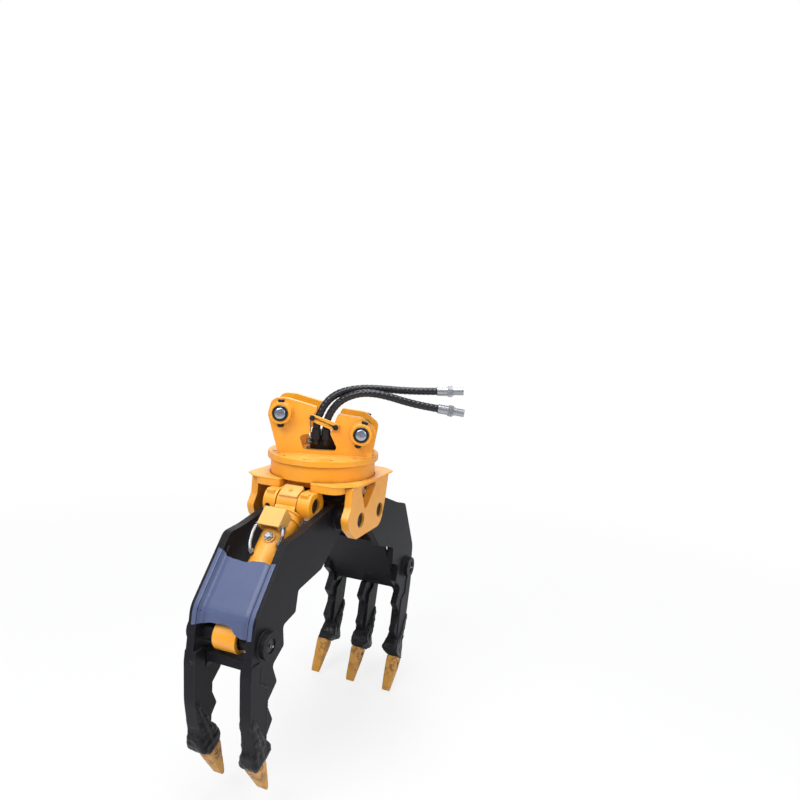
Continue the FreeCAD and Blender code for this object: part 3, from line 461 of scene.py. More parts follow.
def rubber(name, colour, rough=0.48, shine=0.16):
    """Black rubber or plastic with fine mould grain and a little dust."""
    material, tree, shader = start_material(name)
    skin = place_group(tree, "cast", Grain=900.0, Lumps=120.0)
    shade_and_dust = place_group(tree, "corner_shade_and_dust", Corners=0.2, Settled=0.35)
    tone = place_group(tree, "tone", Colour=opaque(colour), Drift=0.3)
    feed(tree, shader, {"Base Color": blend_colour(tree, shade_and_dust["Dust"], tone["Colour"],
                                                   (0.06, 0.058, 0.06, 1.0)),
                        "Roughness": blend_value(tree, skin["Stain"], rough, rough + 0.2),
                        "Specular IOR Level": shine})
    raise_surface(tree, shader, skin["Height"], 0.3, 0.0004)
    return material


def finish_makers():
    """The finish of each material slot, by its name in the record."""
    tones = paint()
    bare = (0.30, 0.28, 0.26)
    return {
        # Yellow and ring paint: the pale tint on faces that look up is a painted highlight.
        "yellow_paint": lambda: painted("Yellow paint", tones.frame_paint, (0.30, 0.15, 0.05), 0.36,
                                        wear=0.55, scuff=0.35, corners=0.55, dust=0.5, coat=0.3,
                                        dust_and_top_light=TOP_LIGHT_TINT),
        "ring_steel": lambda: painted("Ring paint", tones.frame_paint, (0.32, 0.20, 0.10), 0.40, wear=0.35,
                                      scuff=0.25, corners=0.7, dust=0.5, dust_and_top_light=TOP_LIGHT_TINT),
        "port_paint": lambda: painted("Dusty guard paint", (0.84, 0.46, 0.105), bare, 0.55, wear=0.6,
                                      scuff=0.5, dust=0.5),
        "black_paint": lambda: painted("Black paint", tones.jaw_paint, (0.10, 0.10, 0.12), 0.44, wear=0.35,
                                       scuff=0.5, corners=0.2, dust=0.04, coat=0.02, shine=0.13),
        # Blue grey base colour: painted sky reflection on black paint.
        "guard_paint": lambda: painted("Guard paint with painted sky reflection", tones.guard_paint, (0.13, 0.15, 0.21), 0.40, wear=0.5,
                                       scuff=0.6, corners=0.3, dust=0.04, coat=0.1, shine=0.35),
        "pin_steel": lambda: steel("Pin steel", (0.20, 0.22, 0.28), 0.30, brush=(1.0, 1.0, 0.2)),
        "race_steel": lambda: steel("Race steel", (0.55, 0.55, 0.56), 0.28),
        "rod_chrome": lambda: steel("Hard chrome", (0.78, 0.78, 0.80), 0.10, corners=0.3, drift=0.05),
        # Dark greasy steel of the pins; on the swivel housing it is painted shade.
        "greasy_steel_and_shade": lambda: steel("Greasy steel and painted shade", (0.05, 0.048, 0.05), 0.42, metal=0.8),
        "polished_steel": lambda: steel("Polished steel", (0.42, 0.45, 0.54), 0.22, corners=0.3, drift=0.1),
        # Black fasteners; on the swivel fittings and the rings round the pin ends it is painted shade.
        "fastener_black": lambda: steel("Black fasteners and painted shade", (0.028, 0.026, 0.026), 0.45, metal=0.7),
        "fitting_zinc": lambda: steel("Zinc fittings", (0.40, 0.41, 0.43), 0.32, brush=(1.0, 1.0, 0.1)),
        "tooth_steel": lambda: cast_tooth_finish("Tooth primer", tones.tooth_paint),
        "cast_black": lambda: cast_black_finish("Black casting", tones.jaw_paint),
        "yellow_weld": lambda: painted("Painted weld", tones.frame_paint, bare, 0.36, wear=0.3, scuff=0.2,
                                       corners=0.4, dust=0.1),
        "hose_rubber": lambda: rubber("Hose rubber", (0.014, 0.014, 0.015)),
        "spiral_guard": lambda: rubber("Spiral guard", (0.012, 0.012, 0.016), 0.26, 0.42),
    }


def finish_of(slot):
    if slot not in finishes:
        finishes[slot] = finish_makers()[slot]()
    return finishes[slot]


# Mesh building
def mm(x, y, z):
    """A point given in millimetres."""
    return Vector((x, y, z)) * MM


def bracket_point(point):
    """A point of the bracket's own frame, in the row's frame and metres."""
    x, y, z = point
    c, s = math.cos(BRACKET_TURN), math.sin(BRACKET_TURN)
    return mm(x * c - y * s, x * s + y * c, z)


def jaw_point(side, x, out, down):
    """A point given by its distances outward and downward from a jaw's pin, at rest, in metres."""
    turn = JAW_TURN[side]
    reach = out * math.cos(turn) - down * math.sin(turn)
    fall = out * math.sin(turn) + down * math.cos(turn)
    pin_y, pin_z = JAW_PIN[side]
    return mm(x, pin_y + JAW_SIGN[side] * reach, pin_z - fall)


def tooth_frame(side, x):
    """Matrix that takes a tooth drawn pointing down at the origin to its seat on a jaw."""
    turn = TOOTH_LEAN + JAW_TURN[side]
    seat = jaw_point(side, x, *TOOTH_SEAT)
    sign = JAW_SIGN[side]
    return Matrix.Translation(seat) @ Matrix.Rotation(-sign * turn, 4, "X")


def barrel_frame(side):
    """Matrix of a cylinder drawn hanging straight down from its pin, in metres."""
    hung = Matrix.Translation(mm(0, *BARREL_PIN)) @ Matrix.Rotation(-CYLINDER_SWING[side], 4, "X")
    return hung if side == "front" else Matrix.Rotation(math.pi, 4, "Z") @ hung


def facing(place, axis):
    """Matrix whose Z axis leaves a place along an axis."""
    return Matrix.Translation(place) @ Vector(axis).to_track_quat("Z", "Y").to_matrix().to_4x4()


def new_piece(name, mesh, slot, body, finish=None):
    made = bpy.data.objects.new(name, mesh)
    bpy.context.scene.collection.objects.link(made)
    made.data.materials.append(finish_of(finish or slot))
    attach(made, body)
    return made


def mesh_of(name, build, crease=None):
    """Smooth mesh from a builder; edges sharper than the crease angle stay sharp."""
    work = bmesh.new()
    build(work)
    bmesh.ops.recalc_face_normals(work, faces=work.faces)
    mesh = bpy.data.meshes.new(name)
    work.to_mesh(mesh)
    work.free()
    mesh.shade_smooth()
    if crease:
        mesh.set_sharp_from_angle(angle=math.radians(crease))
    return mesh


def frames_along(points, closed=False):
    """Moving frames along a path that don't twist: (point, side, up, forward)."""
    count = len(points)
    ahead = []
    for k in range(count):
        before = points[k - 1] if closed or k else points[0]
        after = points[(k + 1) % count] if closed or k < count - 1 else points[-1]
        ahead.append((after - before).normalized())
    side = ahead[0].orthogonal().normalized()
    frames = []
    for point, forward in zip(points, ahead):
        side = (side - forward * side.dot(forward)).normalized()
        frames.append((point, side, forward.cross(side), forward))
    return frames


def skin_rings(work, rings, closed_path=False, caps=True):
    """Joins rings of points, each a closed loop with as many points as the next."""
    loops = [[work.verts.new(p) for p in ring] for ring in rings]
    count = len(loops[0])
    pairs = list(zip(loops, loops[1:]))
    if closed_path:
        pairs.append((loops[-1], loops[0]))
    for low, high in pairs:
        for k in range(count):
            work.faces.new((low[k], low[(k + 1) % count], high[(k + 1) % count], high[k]))
    if caps and not closed_path:
        work.faces.new(loops[0][::-1])
        work.faces.new(loops[-1])


def even_points(points, step):
    """The same path with points at even steps along it."""
    out = [points[0]]
    for a, b in zip(points, points[1:]):
        count = max(1, round((b - a).length / step))
        out += [a.lerp(b, k / count) for k in range(1, count + 1)]
    return out


def loop_at(middle, side, up, radius, count):
    """Points round a middle, in the plane of two directions."""
    return [middle + (side * math.cos(a) + up * math.sin(a)) * radius
            for a in (math.tau * k / count for k in range(count))]


def weld(work, points, leg, seed, closed=False):
    """Bead laid along a path, with the ripples of its puddles."""
    rng = random.Random(seed)
    path = even_points(points, leg * 0.45)
    if closed:
        path = path[:-1]
    rings = []
    count = len(path)
    for k, (point, side, up, forward) in enumerate(frames_along(path, closed)):
        end = 1.0 if closed else min(1.0, 0.35 + min(k, count - 1 - k) * 0.25)
        swell = leg * end * (1.0 + 0.10 * math.cos(k * math.tau / 5) + rng.uniform(-0.05, 0.05))
        rings.append(loop_at(point, side, up, swell, 8))
    skin_rings(work, rings, closed)


def turned(work, place, stations, count=24):
    """Turned piece along Z: each station is a radius and a height in millimetres."""
    skin_rings(work, [[place @ (Vector((radius * math.cos(math.tau * k / count),
                                        radius * math.sin(math.tau * k / count), z)) * MM)
                       for k in range(count)] for radius, z in stations])


def hexagon(work, place, across, z0, z1):
    """Nut or bolt head along Z with chamfered corners."""
    radius = across / math.sqrt(3)
    turned(work, place, [(radius - 1.2, z0), (radius, z0 + 0.8), (radius, z1 - 1.0), (radius - 1.4, z1)], 6)


def circle_points(centre, radius, axis, count=48):
    """Closed path round an axis: its last point is its first again."""
    axis = Vector(axis).normalized()
    side = axis.orthogonal().normalized()
    points = loop_at(centre, side, axis.cross(side), radius, count)
    return points + points[:1]


def between(x, table):
    """Value at x of a table of (x, value), eased from one entry to the next."""
    for (x0, v0), (x1, v1) in zip(table, table[1:]):
        if x <= x1 or (x1, v1) == table[-1]:
            share = min(1.0, max(0.0, (x - x0) / (x1 - x0)))
            return v0 + (v1 - v0) * share * share * (3 - 2 * share)


def rounded_ring(x_ends, y_ends, corner, z, steps=5):
    """Loop of a rounded rectangle across Z, in millimetres, between its ends in X and Y."""
    x0, x1 = sorted(x_ends)
    y0, y1 = sorted(y_ends)
    corner = min(corner, (x1 - x0) / 2 - 0.01, (y1 - y0) / 2 - 0.01)
    points = []
    for x, y, first in ((x1 - corner, y1 - corner, 0), (x0 + corner, y1 - corner, 90),
                        (x0 + corner, y0 + corner, 180), (x1 - corner, y0 + corner, 270)):
        for k in range(steps + 1):
            a = math.radians(first + 90 * k / steps)
            points.append(Vector((x + math.cos(a) * corner, y + math.sin(a) * corner, z)) * MM)
    return points


def add_bevel(obj, width, angle=32.0, segments=2):
    bevel = obj.modifiers.new("Rounded edges", "BEVEL")
    bevel.width = width
    bevel.segments = segments
    bevel.limit_method = "ANGLE"
    bevel.angle_limit = math.radians(angle)
    bevel.harden_normals = False
    bevel.miter_outer = "MITER_ARC"


def smooth_cad(obj, width):
    """Joins the split corners of a CAD mesh and rounds its sharp edges."""
    obj.data.shade_smooth()
    join = obj.modifiers.new("Joined corners", "WELD")
    join.merge_threshold = 2e-6
    if width > 0:
        add_bevel(obj, width)
    soft = obj.modifiers.new("Even normals", "WEIGHTED_NORMAL")
    soft.keep_sharp = False
    soft.weight = 80


class GRAPPLE_OT_stage(bpy.types.Operator):
    """Pale floor, soft lights and the camera"""
    bl_idname = "grapple.stage"
    bl_label = "Stage, lights and camera"

    def execute(self, context):
        scene = context.scene
        scene.view_settings.view_transform = "Standard"
        camera_data = bpy.data.cameras.new("Camera")
        camera_data.sensor_width = 36.0
        camera_data.lens = camera_data.sensor_width * FOCAL_PIXELS / PHOTO_PIXELS
        camera = bpy.data.objects.new("Camera", camera_data)
        camera.location = (1.0687, -1.9931, 0.3229)
        camera.rotation_euler = Euler([math.radians(a) for a in (83.7952, -3.0973, 22.1458)])
        scene.collection.objects.link(camera)
        scene.camera = camera
        self.add_world(scene)
        self.add_floor()
        for name, place, target, size, power in (
                ("Key light", (-0.6, -3.2, 2.6), (0, 0, -0.5), 2.4, 100.0),
                ("Fill light", (3.0, -1.2, 1.2), (0, 0, -0.6), 2.2, 34.0),
                ("Back light", (-1.5, 3.0, 2.2), (0, 0, -0.4), 2.2, 46.0),
                ("Top light", (0.2, -0.4, 3.2), (0, 0, 0), 1.8, 74.0)):
            self.add_light(name, Vector(place), Vector(target), size, power)
        return {"FINISHED"}

    def add_world(self, scene):
        world = bpy.data.worlds.new("Studio")
        world.use_nodes = True
        scene.world = world
        tree = world.node_tree
        tree.nodes.clear()
        shown = seen_directly(tree)
        lit = put(tree, "Background", {"Color": (0.93, 0.96, 1.0, 1.0), "Strength": 0.40})
        white = put(tree, "Background", {"Color": (1.0, 1.0, 1.0, 1.0), "Strength": 1.0})
        mixed = put(tree, "MixShader", {0: shown, 1: lit.outputs[0], 2: white.outputs[0]})
        put(tree, "OutputWorld", {"Surface": mixed.outputs[0]})

    def add_floor(self):
        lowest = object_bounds()[0].z
        radius = sizes().floor_size

        def build(work):
            bmesh.ops.create_circle(work, cap_ends=True, segments=96, radius=radius)

        mesh = mesh_of("Floor", build)
        floor = bpy.data.objects.new("Floor", mesh)
        floor.location.z = lowest - 0.012
        bpy.context.scene.collection.objects.link(floor)
        material = bpy.data.materials.new("Pale floor")
        material.use_nodes = True
        tree = material.node_tree
        tree.nodes.clear()
        shown = seen_directly(tree)
        matt = put(tree, "BsdfDiffuse", {"Color": (0.82, 0.82, 0.82, 1.0)})
        white = put(tree, "Emission", {"Color": (1.0, 1.0, 1.0, 1.0), "Strength": 1.0})
        place = put(tree, "TexCoord").outputs["Object"]
        far = put(tree, "VectorMath", {0: place}, operation="LENGTH").outputs["Value"]
        paler = calc(tree, "ADD", times(tree, ramp(tree, far, 0.6, 4.0), 0.24), 0.76)
        share = times(tree, shown, paler)
        mixed = put(tree, "MixShader", {0: share, 1: matt.outputs[0], 2: white.outputs[0]})
        put(tree, "OutputMaterial", {"Surface": mixed.outputs[0]})
        mesh.materials.append(material)
        floor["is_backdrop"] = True

    def add_light(self, name, place, target, size, power):
        data = bpy.data.lights.new(name, "AREA")
        data.shape = "DISK"
        data.size = size
        data.energy = power
        lamp = bpy.data.objects.new(name, data)
        lamp.location = place
        lamp.rotation_euler = (target - place).to_track_quat("-Z", "Y").to_euler()
        bpy.context.scene.collection.objects.link(lamp)


class GRAPPLE_OT_hoses(bpy.types.Operator):
    """Two supply hoses in their spiral guards"""
    bl_idname = "grapple.hoses"
    bl_label = "Supply hoses"

    def execute(self, context):
        for letter, route in (("a", HOSE_A), ("b", HOSE_B)):
            self.add_hose(letter, [bracket_point(p) for p in route])
        return {"FINISHED"}

    def add_hose(self, letter, route):
        name = "supply_hose_%s_line" % letter
        curve = bpy.data.curves.new(name, "CURVE")
        curve.dimensions = "3D"
        curve.resolution_u = 16
        spline = curve.splines.new("NURBS")
        spline.points.add(len(route) - 1)
        for point, place in zip(spline.points, route):
            point.co = (*place, 1.0)
        spline.order_u = 3
        spline.use_endpoint_u = True
        hose = bpy.data.objects.new(name, curve)
        bpy.context.scene.collection.objects.link(hose)
        path = self.read_path(hose)
        curve.bevel_depth = sizes().hose_diameter / 2 * HOSE_CORE
        curve.bevel_resolution = 6
        curve.use_fill_caps = True
        curve.materials.append(finish_of("hose_rubber"))
        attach(hose, "bracket")
        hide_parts("supply_hose_" + letter)
        guard = self.add_guard(letter, path)

    def read_path(self, hose):
        """Points of the curve's own smooth line, read while it has no thickness."""
        seen = bpy.data.meshes.new_from_object(hose)
        points = [v.co.copy() for v in seen.vertices]
        bpy.data.meshes.remove(seen)
        return points

    def add_guard(self, letter, path):
        """Flat strip wound round the hose, thick in its middle and thin at its edges."""
        pitch = sizes().guard_pitch
        fine = even_points(path, 0.0022)
        inner = sizes().hose_diameter / 2 * HOSE_CORE
        outer = sizes().hose_diameter / 2

        def build(work):
            run = 0.0
            rows = []
            last = fine[0]
            for point, side, up, forward in frames_along(fine):
                run += (point - last).length
                last = point
                angle = run / pitch * math.tau
                row = []
                for j in range(24):
                    a = math.tau * j / 24
                    wave = ((a - angle) / math.tau) % 1.0
                    lift = min(1.0, 3.2 * min(wave, 1.0 - wave))
                    radius = inner + (outer - inner) * (lift ** 0.5)
                    row.append(point + (side * math.cos(a) + up * math.sin(a)) * radius)
                rows.append(row)
            skin_rings(work, rows)

        return new_piece("supply_hose_%s_guard" % letter, mesh_of("hose guard", build), "hose_rubber",
                         "bracket", finish="spiral_guard")


# CAD pieces whose finish differs from the rest of their slot. The dark finishes of the swivel housing and its
# fittings are painted shade, seen through the bracket's window.
OWN_FINISH = {"jaw_pins": "greasy_steel_and_shade", "barrel_pins": "greasy_steel_and_shade", "head_bolts": "yellow_paint",
              "swivel_fittings": "fastener_black", "swivel_housing": "greasy_steel_and_shade",
              "front_rod_pin": "greasy_steel_and_shade", "rear_rod_pin": "greasy_steel_and_shade"}


class GRAPPLE_OT_frame_finish(bpy.types.Operator):
    """Finishes and rounded edges of the CAD pieces"""
    bl_idname = "grapple.frame_finish"
    bl_label = "Finishes of the CAD pieces"

    def execute(self, context):
        slot_of = {s["node"]: s["material_slot"] for s in frame["record"]["subparts"]}
        edge = sizes().edge_round
        fine = ("_bolts", "_pins", "_rollers", "keepers", "fittings", "couplings", "piston", "gland", "_rod")
        for name, obj in frame["nodes"].items():
            obj.data.materials.clear()
            obj.data.materials.append(finish_of(OWN_FINISH.get(name, slot_of[name])))
            smooth_cad(obj, edge * 0.4 if name.endswith(fine) else edge)
        return {"FINISHED"}


class GRAPPLE_OT_teeth(bpy.types.Operator):
    """Cast teeth and the adapters that they sit on"""
    bl_idname = "grapple.teeth"
    bl_label = "Teeth and adapters"

    def execute(self, context):
        seed = 11
        for side, places in TEETH.items():
            for number, (x, inner, outer) in enumerate(places):
                seed += 7
                place = tooth_frame(side, x)
                tooth = self.add_tooth("%s_tooth_%d" % (side, number + 1), side + "_jaw", place, seed)
                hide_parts(side + "_teeth")
                self.add_pin_marks("%s_tooth_pin_ends_%d" % (side, number + 1), side + "_jaw", place)
                adapter = self.add_adapter("%s_adapter_%d" % (side, number + 1), side + "_jaw", place, seed,
                                           inner - x, outer - x)
                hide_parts(side + "_adapters")
        return {"FINISHED"}

    def worn(self, mesh, seed, amount):
        """Moves each point a little, in soft lumps, as a casting and its wear do."""
        rng = random.Random(seed)
        waves = [(Vector([rng.uniform(-1, 1) for _ in range(3)]).normalized() * rng.uniform(60, 190),
                  rng.uniform(0, math.tau)) for _ in range(7)]
        for vertex in mesh.vertices:
            push = sum(math.sin(wave.dot(vertex.co) + shift) for wave, shift in waves) / 7
            vertex.co += vertex.normal * push * amount

    def add_tooth(self, name, body, place, seed):
        width = sizes().tooth_width / MM
        stretch = sizes().tooth_length / (155 * MM)
        stations = [(-26, 0.92, 49, 8), (-26.5, 0.97, 54, 8), (-31, 1.0, 56, 8), (-44, 0.985, 52.5, 7.5),
                    (-62, 0.95, 46, 7), (-82, 0.90, 38.5, 6), (-102, 0.85, 31, 5), (-122, 0.80, 24, 4.4),
                    (-138, 0.76, 18, 3.6), (-148, 0.73, 13, 3), (-153, 0.71, 9.5, 2.4), (-154.6, 0.68, 6, 1.6),
                    (-155, 0.64, 3.5, 0.8)]

        def build(work):
            skin_rings(work, [rounded_ring((-width / 2 * share, width / 2 * share),
                                           (-depth / 2, depth / 2), corner, z * stretch)
                              for z, share, depth, corner in stations])

        mesh = mesh_of(name, build)
        share = mesh.attributes.new("socket_share", "FLOAT", "POINT")
        for vertex, value in zip(mesh.vertices, share.data):
            value.value = 1 + (vertex.co.z + 0.030) / 0.125
        self.worn(mesh, seed, 0.0011)
        mesh.transform(place)
        tooth = new_piece(name, mesh, "tooth_steel", body)
        self.soften(tooth)
        return tooth

    def soften(self, piece):
        smooth = piece.modifiers.new("Smooth casting", "SUBSURF")
        smooth.levels = smooth.render_levels = 2

    def add_pin_marks(self, name, body, place):
        """Ends of the cross pin that holds a tooth."""
        def build(work):
            for way in (-1, 1):
                end = place @ facing(mm(way * 22.2, -3, -46), (way, 0, 0))
                turned(work, end, [(7.5, -2), (7.5, 0.7), (6.4, 1.1), (5.4, 0.2), (2.0, 0.2)])

        new_piece(name, mesh_of(name, build, 40), "fastener_black", body)

    def add_adapter(self, name, body, place, seed, inner, outer):
        """Lumpy cast adapter: a neck, a sleeve round the tine's end and a ridged strap up each face."""
        way = 1 if outer > inner else -1
        ends = (inner - way * STRAP_THICK, outer + way * SWELL)
        foot = (-way * 24.0, way * 24.0)
        neck = [(6, 0, 37, 8), (-6, 0.06, 39, 9), (-12, 0.30, 38, 10), (-18, 0.62, 34, 11), (-25, 1.0, 29, 9)]
        sleeve = [(-8, 0.9, 41, 41, 10), (4, 0.95, 42, 42, 10), (18, 0.8, 40, 40, 9), (34, 0.55, 35, 35, 8),
                  (48, 0.2, 27, 31, 6)]

        def build(work):
            skin_rings(work, [rounded_ring([e + (f - e) * share for e, f in zip(ends, foot)], (-half, half),
                                           corner, z) for z, share, half, corner in neck])
            skin_rings(work, [rounded_ring((inner - way * (1 + 17 * share), outer + way * (1 + 8 * share)),
                                           (-low, high), corner, z)
                              for z, share, low, high, corner in sleeve])
            for face, thick in ((inner, -way * STRAP_THICK), (outer, way * SWELL)):
                self.add_strap(work, face, thick, seed)

        mesh = mesh_of(name, build)
        mesh.transform(place)
        adapter = new_piece(name, mesh, "black_paint", body, finish="cast_black")
        joined = adapter.modifiers.new("One casting", "REMESH")
        joined.mode = "VOXEL"
        joined.voxel_size = 2.6 * MM
        joined.use_smooth_shade = True
        eased = adapter.modifiers.new("Soft corners", "SMOOTH")
        eased.factor = 0.5
        eased.iterations = 5
        self.add_lumps(adapter, seed)
        return adapter

    def add_lumps(self, piece, seed):
        lumps = bpy.data.textures.new("Casting lumps %d" % seed, "CLOUDS")
        lumps.noise_scale = 0.016 + 0.002 * (seed % 3)
        lumps.noise_depth = 2
        swell = piece.modifiers.new("Casting lumps", "DISPLACE")
        swell.texture = lumps
        swell.texture_coords = "LOCAL"
        swell.strength = 5.5 * MM
        swell.mid_level = 0.5

    def add_strap(self, work, face, thick, seed):
        """Tapered strap whose face is folded into a few ridges that run along it."""
        shift = random.Random(seed).uniform(0, 3)
        rows = []
        for z, low, high in ((-2, -36, 36), (12, -33, 33), (30, -28, 27), (45, -24, 27), (60, -20.5, 28),
                             (78, -17, 26), (96, -13, 23.5), (114, -9, 21.5), (130, -6, 19), (143, -3, 16),
                             (149, 0, 13)):
            rise = thick * (1 - 0.7 * z / 150) * (1.0 if z < 140 else 0.6)
            row = []
            for k in range(15):
                share = k / 14
                y = low + (high - low) * share
                fold = 0.78 + 0.18 * math.sin(share * 14 + shift + z * 0.018)
                edge = min(1.0, 5.5 * min(share, 1 - share) + 0.25)
                row.append(mm(face + rise * fold * edge, y, z))
            back = [Vector((face - math.copysign(4.0, thick), p.y / MM, z)) * MM for p in row[::-1]]
            rows.append(row + back)
        skin_rings(work, rows)


class GRAPPLE_OT_plates(bpy.types.Operator):
    """Folded guard over the front rod, plate across the rear jaw and top plate of the turntable"""
    bl_idname = "grapple.plates"
    bl_label = "Guard, inner plate and top plate"

    def execute(self, context):
        guard = self.add_guard()
        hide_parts("front_guard_plate")
        plate = self.add_inner_plate()
        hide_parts("rear_inner_plate")
        self.add_deck()
        return {"FINISHED"}

    def along(self, edge, distance, height):
        """Point at a distance along a path of a jaw's profile, raised outward from it."""
        for a, b in zip(edge, edge[1:]):
            a, b = Vector(a), Vector(b)
            length = (b - a).length
            if distance <= length or b == Vector(edge[-1]):
                way = (b - a) / length
                return a + way * distance + Vector((way.y, -way.x)) * height
            distance -= length

    def add_guard(self):
        columns = [-100 + 200 * k / 80 for k in range(81)]
        rows = 40

        def build(work):
            grid = []
            for x in columns:
                top, foot = between(x, GUARD_TOP), between(x, GUARD_FOOT)
                spots = [self.along(GUARD_EDGE, top + (foot - top) * k / rows, between(x, GUARD_RISE))
                         for k in range(rows + 1)]
                grid.append([work.verts.new(jaw_point("front", x, *spot)) for spot in spots])
            for left, right in zip(grid, grid[1:]):
                for k in range(rows):
                    work.faces.new((left[k], left[k + 1], right[k + 1], right[k]))

        guard = new_piece("front_rod_guard", mesh_of("front_rod_guard", build), "guard_paint", "front_jaw")
        thick = guard.modifiers.new("Plate", "SOLIDIFY")
        thick.thickness = 6 * MM
        thick.offset = -1 if guard.data.polygons[0].normal.y < 0 else 1
        add_bevel(guard, 0.0012, 50)
        return guard

    def add_deck(self):
        """Top plate that laps over both lugs, cut out round the slewing ring."""
        edge = [Vector(p) for p in DECK_EDGE]

        def build(work):
            path = [a.lerp(b, k / 8) for a, b in zip(edge, edge[1:]) for k in range(8)] + [edge[-1]]
            for way in (1, -1):
                rows = []
                for spot in path:
                    ring = spot.normalized() * DECK_HOLE
                    rows.append([mm(way * x, way * y, z) for (x, y), z in
                                 ((spot, DECK_TOP), (ring, DECK_TOP), (ring, DECK_FOOT), (spot, DECK_FOOT))])
                skin_rings(work, rows)

        deck = new_piece("turntable_deck", mesh_of("turntable_deck", build, 40), "yellow_paint", "turntable")
        add_bevel(deck, 0.001, 50)

    def add_inner_plate(self):
        half = 134.2

        def build(work):
            rows = []
            for k in range(61):
                share = k / 60
                trim = 16 * max(0.0, 1 - share * 14) + 10 * max(0.0, (share - 0.94) * 16) ** 2
                back = self.along(INNER_PLATE, share * 264.4, 4)
                face = self.along(INNER_PLATE, share * 264.4, -14)
                wide = half - trim
                rows.append([jaw_point("rear", x, *spot) for x, spot in
                             ((-wide, back), (wide, back), (wide, face), (-wide, face))])
            skin_rings(work, rows)

        plate = new_piece("rear_jaw_plate", mesh_of("rear_jaw_plate", build, 40), "black_paint", "rear_jaw")
        add_bevel(plate, 0.002, 50)
        return plate


class GRAPPLE_OT_welds(bpy.types.Operator):
    """Weld beads along the joints of the plates"""
    bl_idname = "grapple.welds"
    bl_label = "Weld beads"

    def execute(self, context):
        self.add_beads("bracket_welds", "bracket", "yellow_paint", self.bracket_paths())
        self.add_beads("turntable_welds", "turntable", "yellow_paint", self.turntable_paths())
        for side in SIDES:
            self.add_beads(side + "_jaw_welds", side + "_jaw", "black_paint", self.jaw_paths(side))
            self.add_beads(side + "_barrel_welds", side + "_cylinder_barrel", "yellow_paint",
                           self.barrel_paths(side))
            self.add_beads(side + "_rod_weld", side + "_cylinder_rod", "yellow_paint", self.rod_paths(side))
        return {"FINISHED"}

    def add_beads(self, name, body, slot, paths):
        leg = sizes().weld_leg

        def build(work):
            for number, (points, closed) in enumerate(paths):
                weld(work, points, leg, number * 13 + len(name), closed)

        finish = "yellow_weld" if slot == "yellow_paint" else "cast_black"
        new_piece(name, mesh_of(name, build), slot, body, finish=finish)

    def bracket_paths(self):
        paths = []
        for y in (-92, -67, 67, 92):
            spans = ((-138, 166),) if abs(y) > 80 else ((-138, -110), (-90, 90), (110, 166))
            for x0, x1 in spans:
                paths.append(([bracket_point((x0, y, -109)), bracket_point((x1, y, -109))], False))
        for x in (-108, -92, 92, 108):
            paths.append(([bracket_point((x, -64, -109)), bracket_point((x, 64, -109))], False))
        axis = bracket_point((0, 1, 0))
        for x, z in COUPLER_PINS:
            for y in (-92, 92):
                paths.append((circle_points(bracket_point((x, y, z)), 35 * MM, axis), True))
        return paths

    def turntable_paths(self):
        paths = []
        for way in (-1, 1):
            paths.append(([mm(way * 162, y, -207) for y in (-140, 136)], False))
            for x in (48, 75):
                for turn in (-1, 1):
                    paths.append(([mm(turn * way * x, turn * y, -208) for y in (-185, -132)], False))
        return paths

    def jaw_paths(self, side):
        outside = TINE_OUTSIDE[side]
        inside = outside - TINE_THICK
        paths = []
        for way in (-1, 1):
            paths += [(circle_points(jaw_point(side, way * x, 0, 0), 42 * MM, (1, 0, 0)), True)
                      for x in (inside, outside)]
            boss = jaw_point(side, way * outside, *ROD_PIN)
            paths.append((circle_points(boss, 39 * MM, (1, 0, 0)), True))
            paths += [([jaw_point(side, way * x, *p) for p in line], False) for x, line in
                      ((outside, TINE_WELD), (inside, BAR_WELD), (inside, PLATE_WELD[side]))]
        return paths

    def barrel_paths(self, side):
        place = barrel_frame(side)
        axis = place.to_3x3() @ Vector((0, 0, 1))
        out = place.to_3x3() @ Vector((0, 1, 0))
        paths = [(circle_points(place @ mm(0, 0, z), 50 * MM, axis, count=64), True) for z in (-48.5, -70)]
        for z in (-94, -256):
            paths.append((circle_points(place @ mm(0, -49, z), 17 * MM, out), True))
        return paths

    def rod_paths(self, side):
        place = barrel_frame(side)
        axis = place.to_3x3() @ Vector((0, 0, 1))
        neck = place @ mm(0, 0, 57 - ROD_REACH[side])
        return [(circle_points(neck, 23.5 * MM, axis), True)]


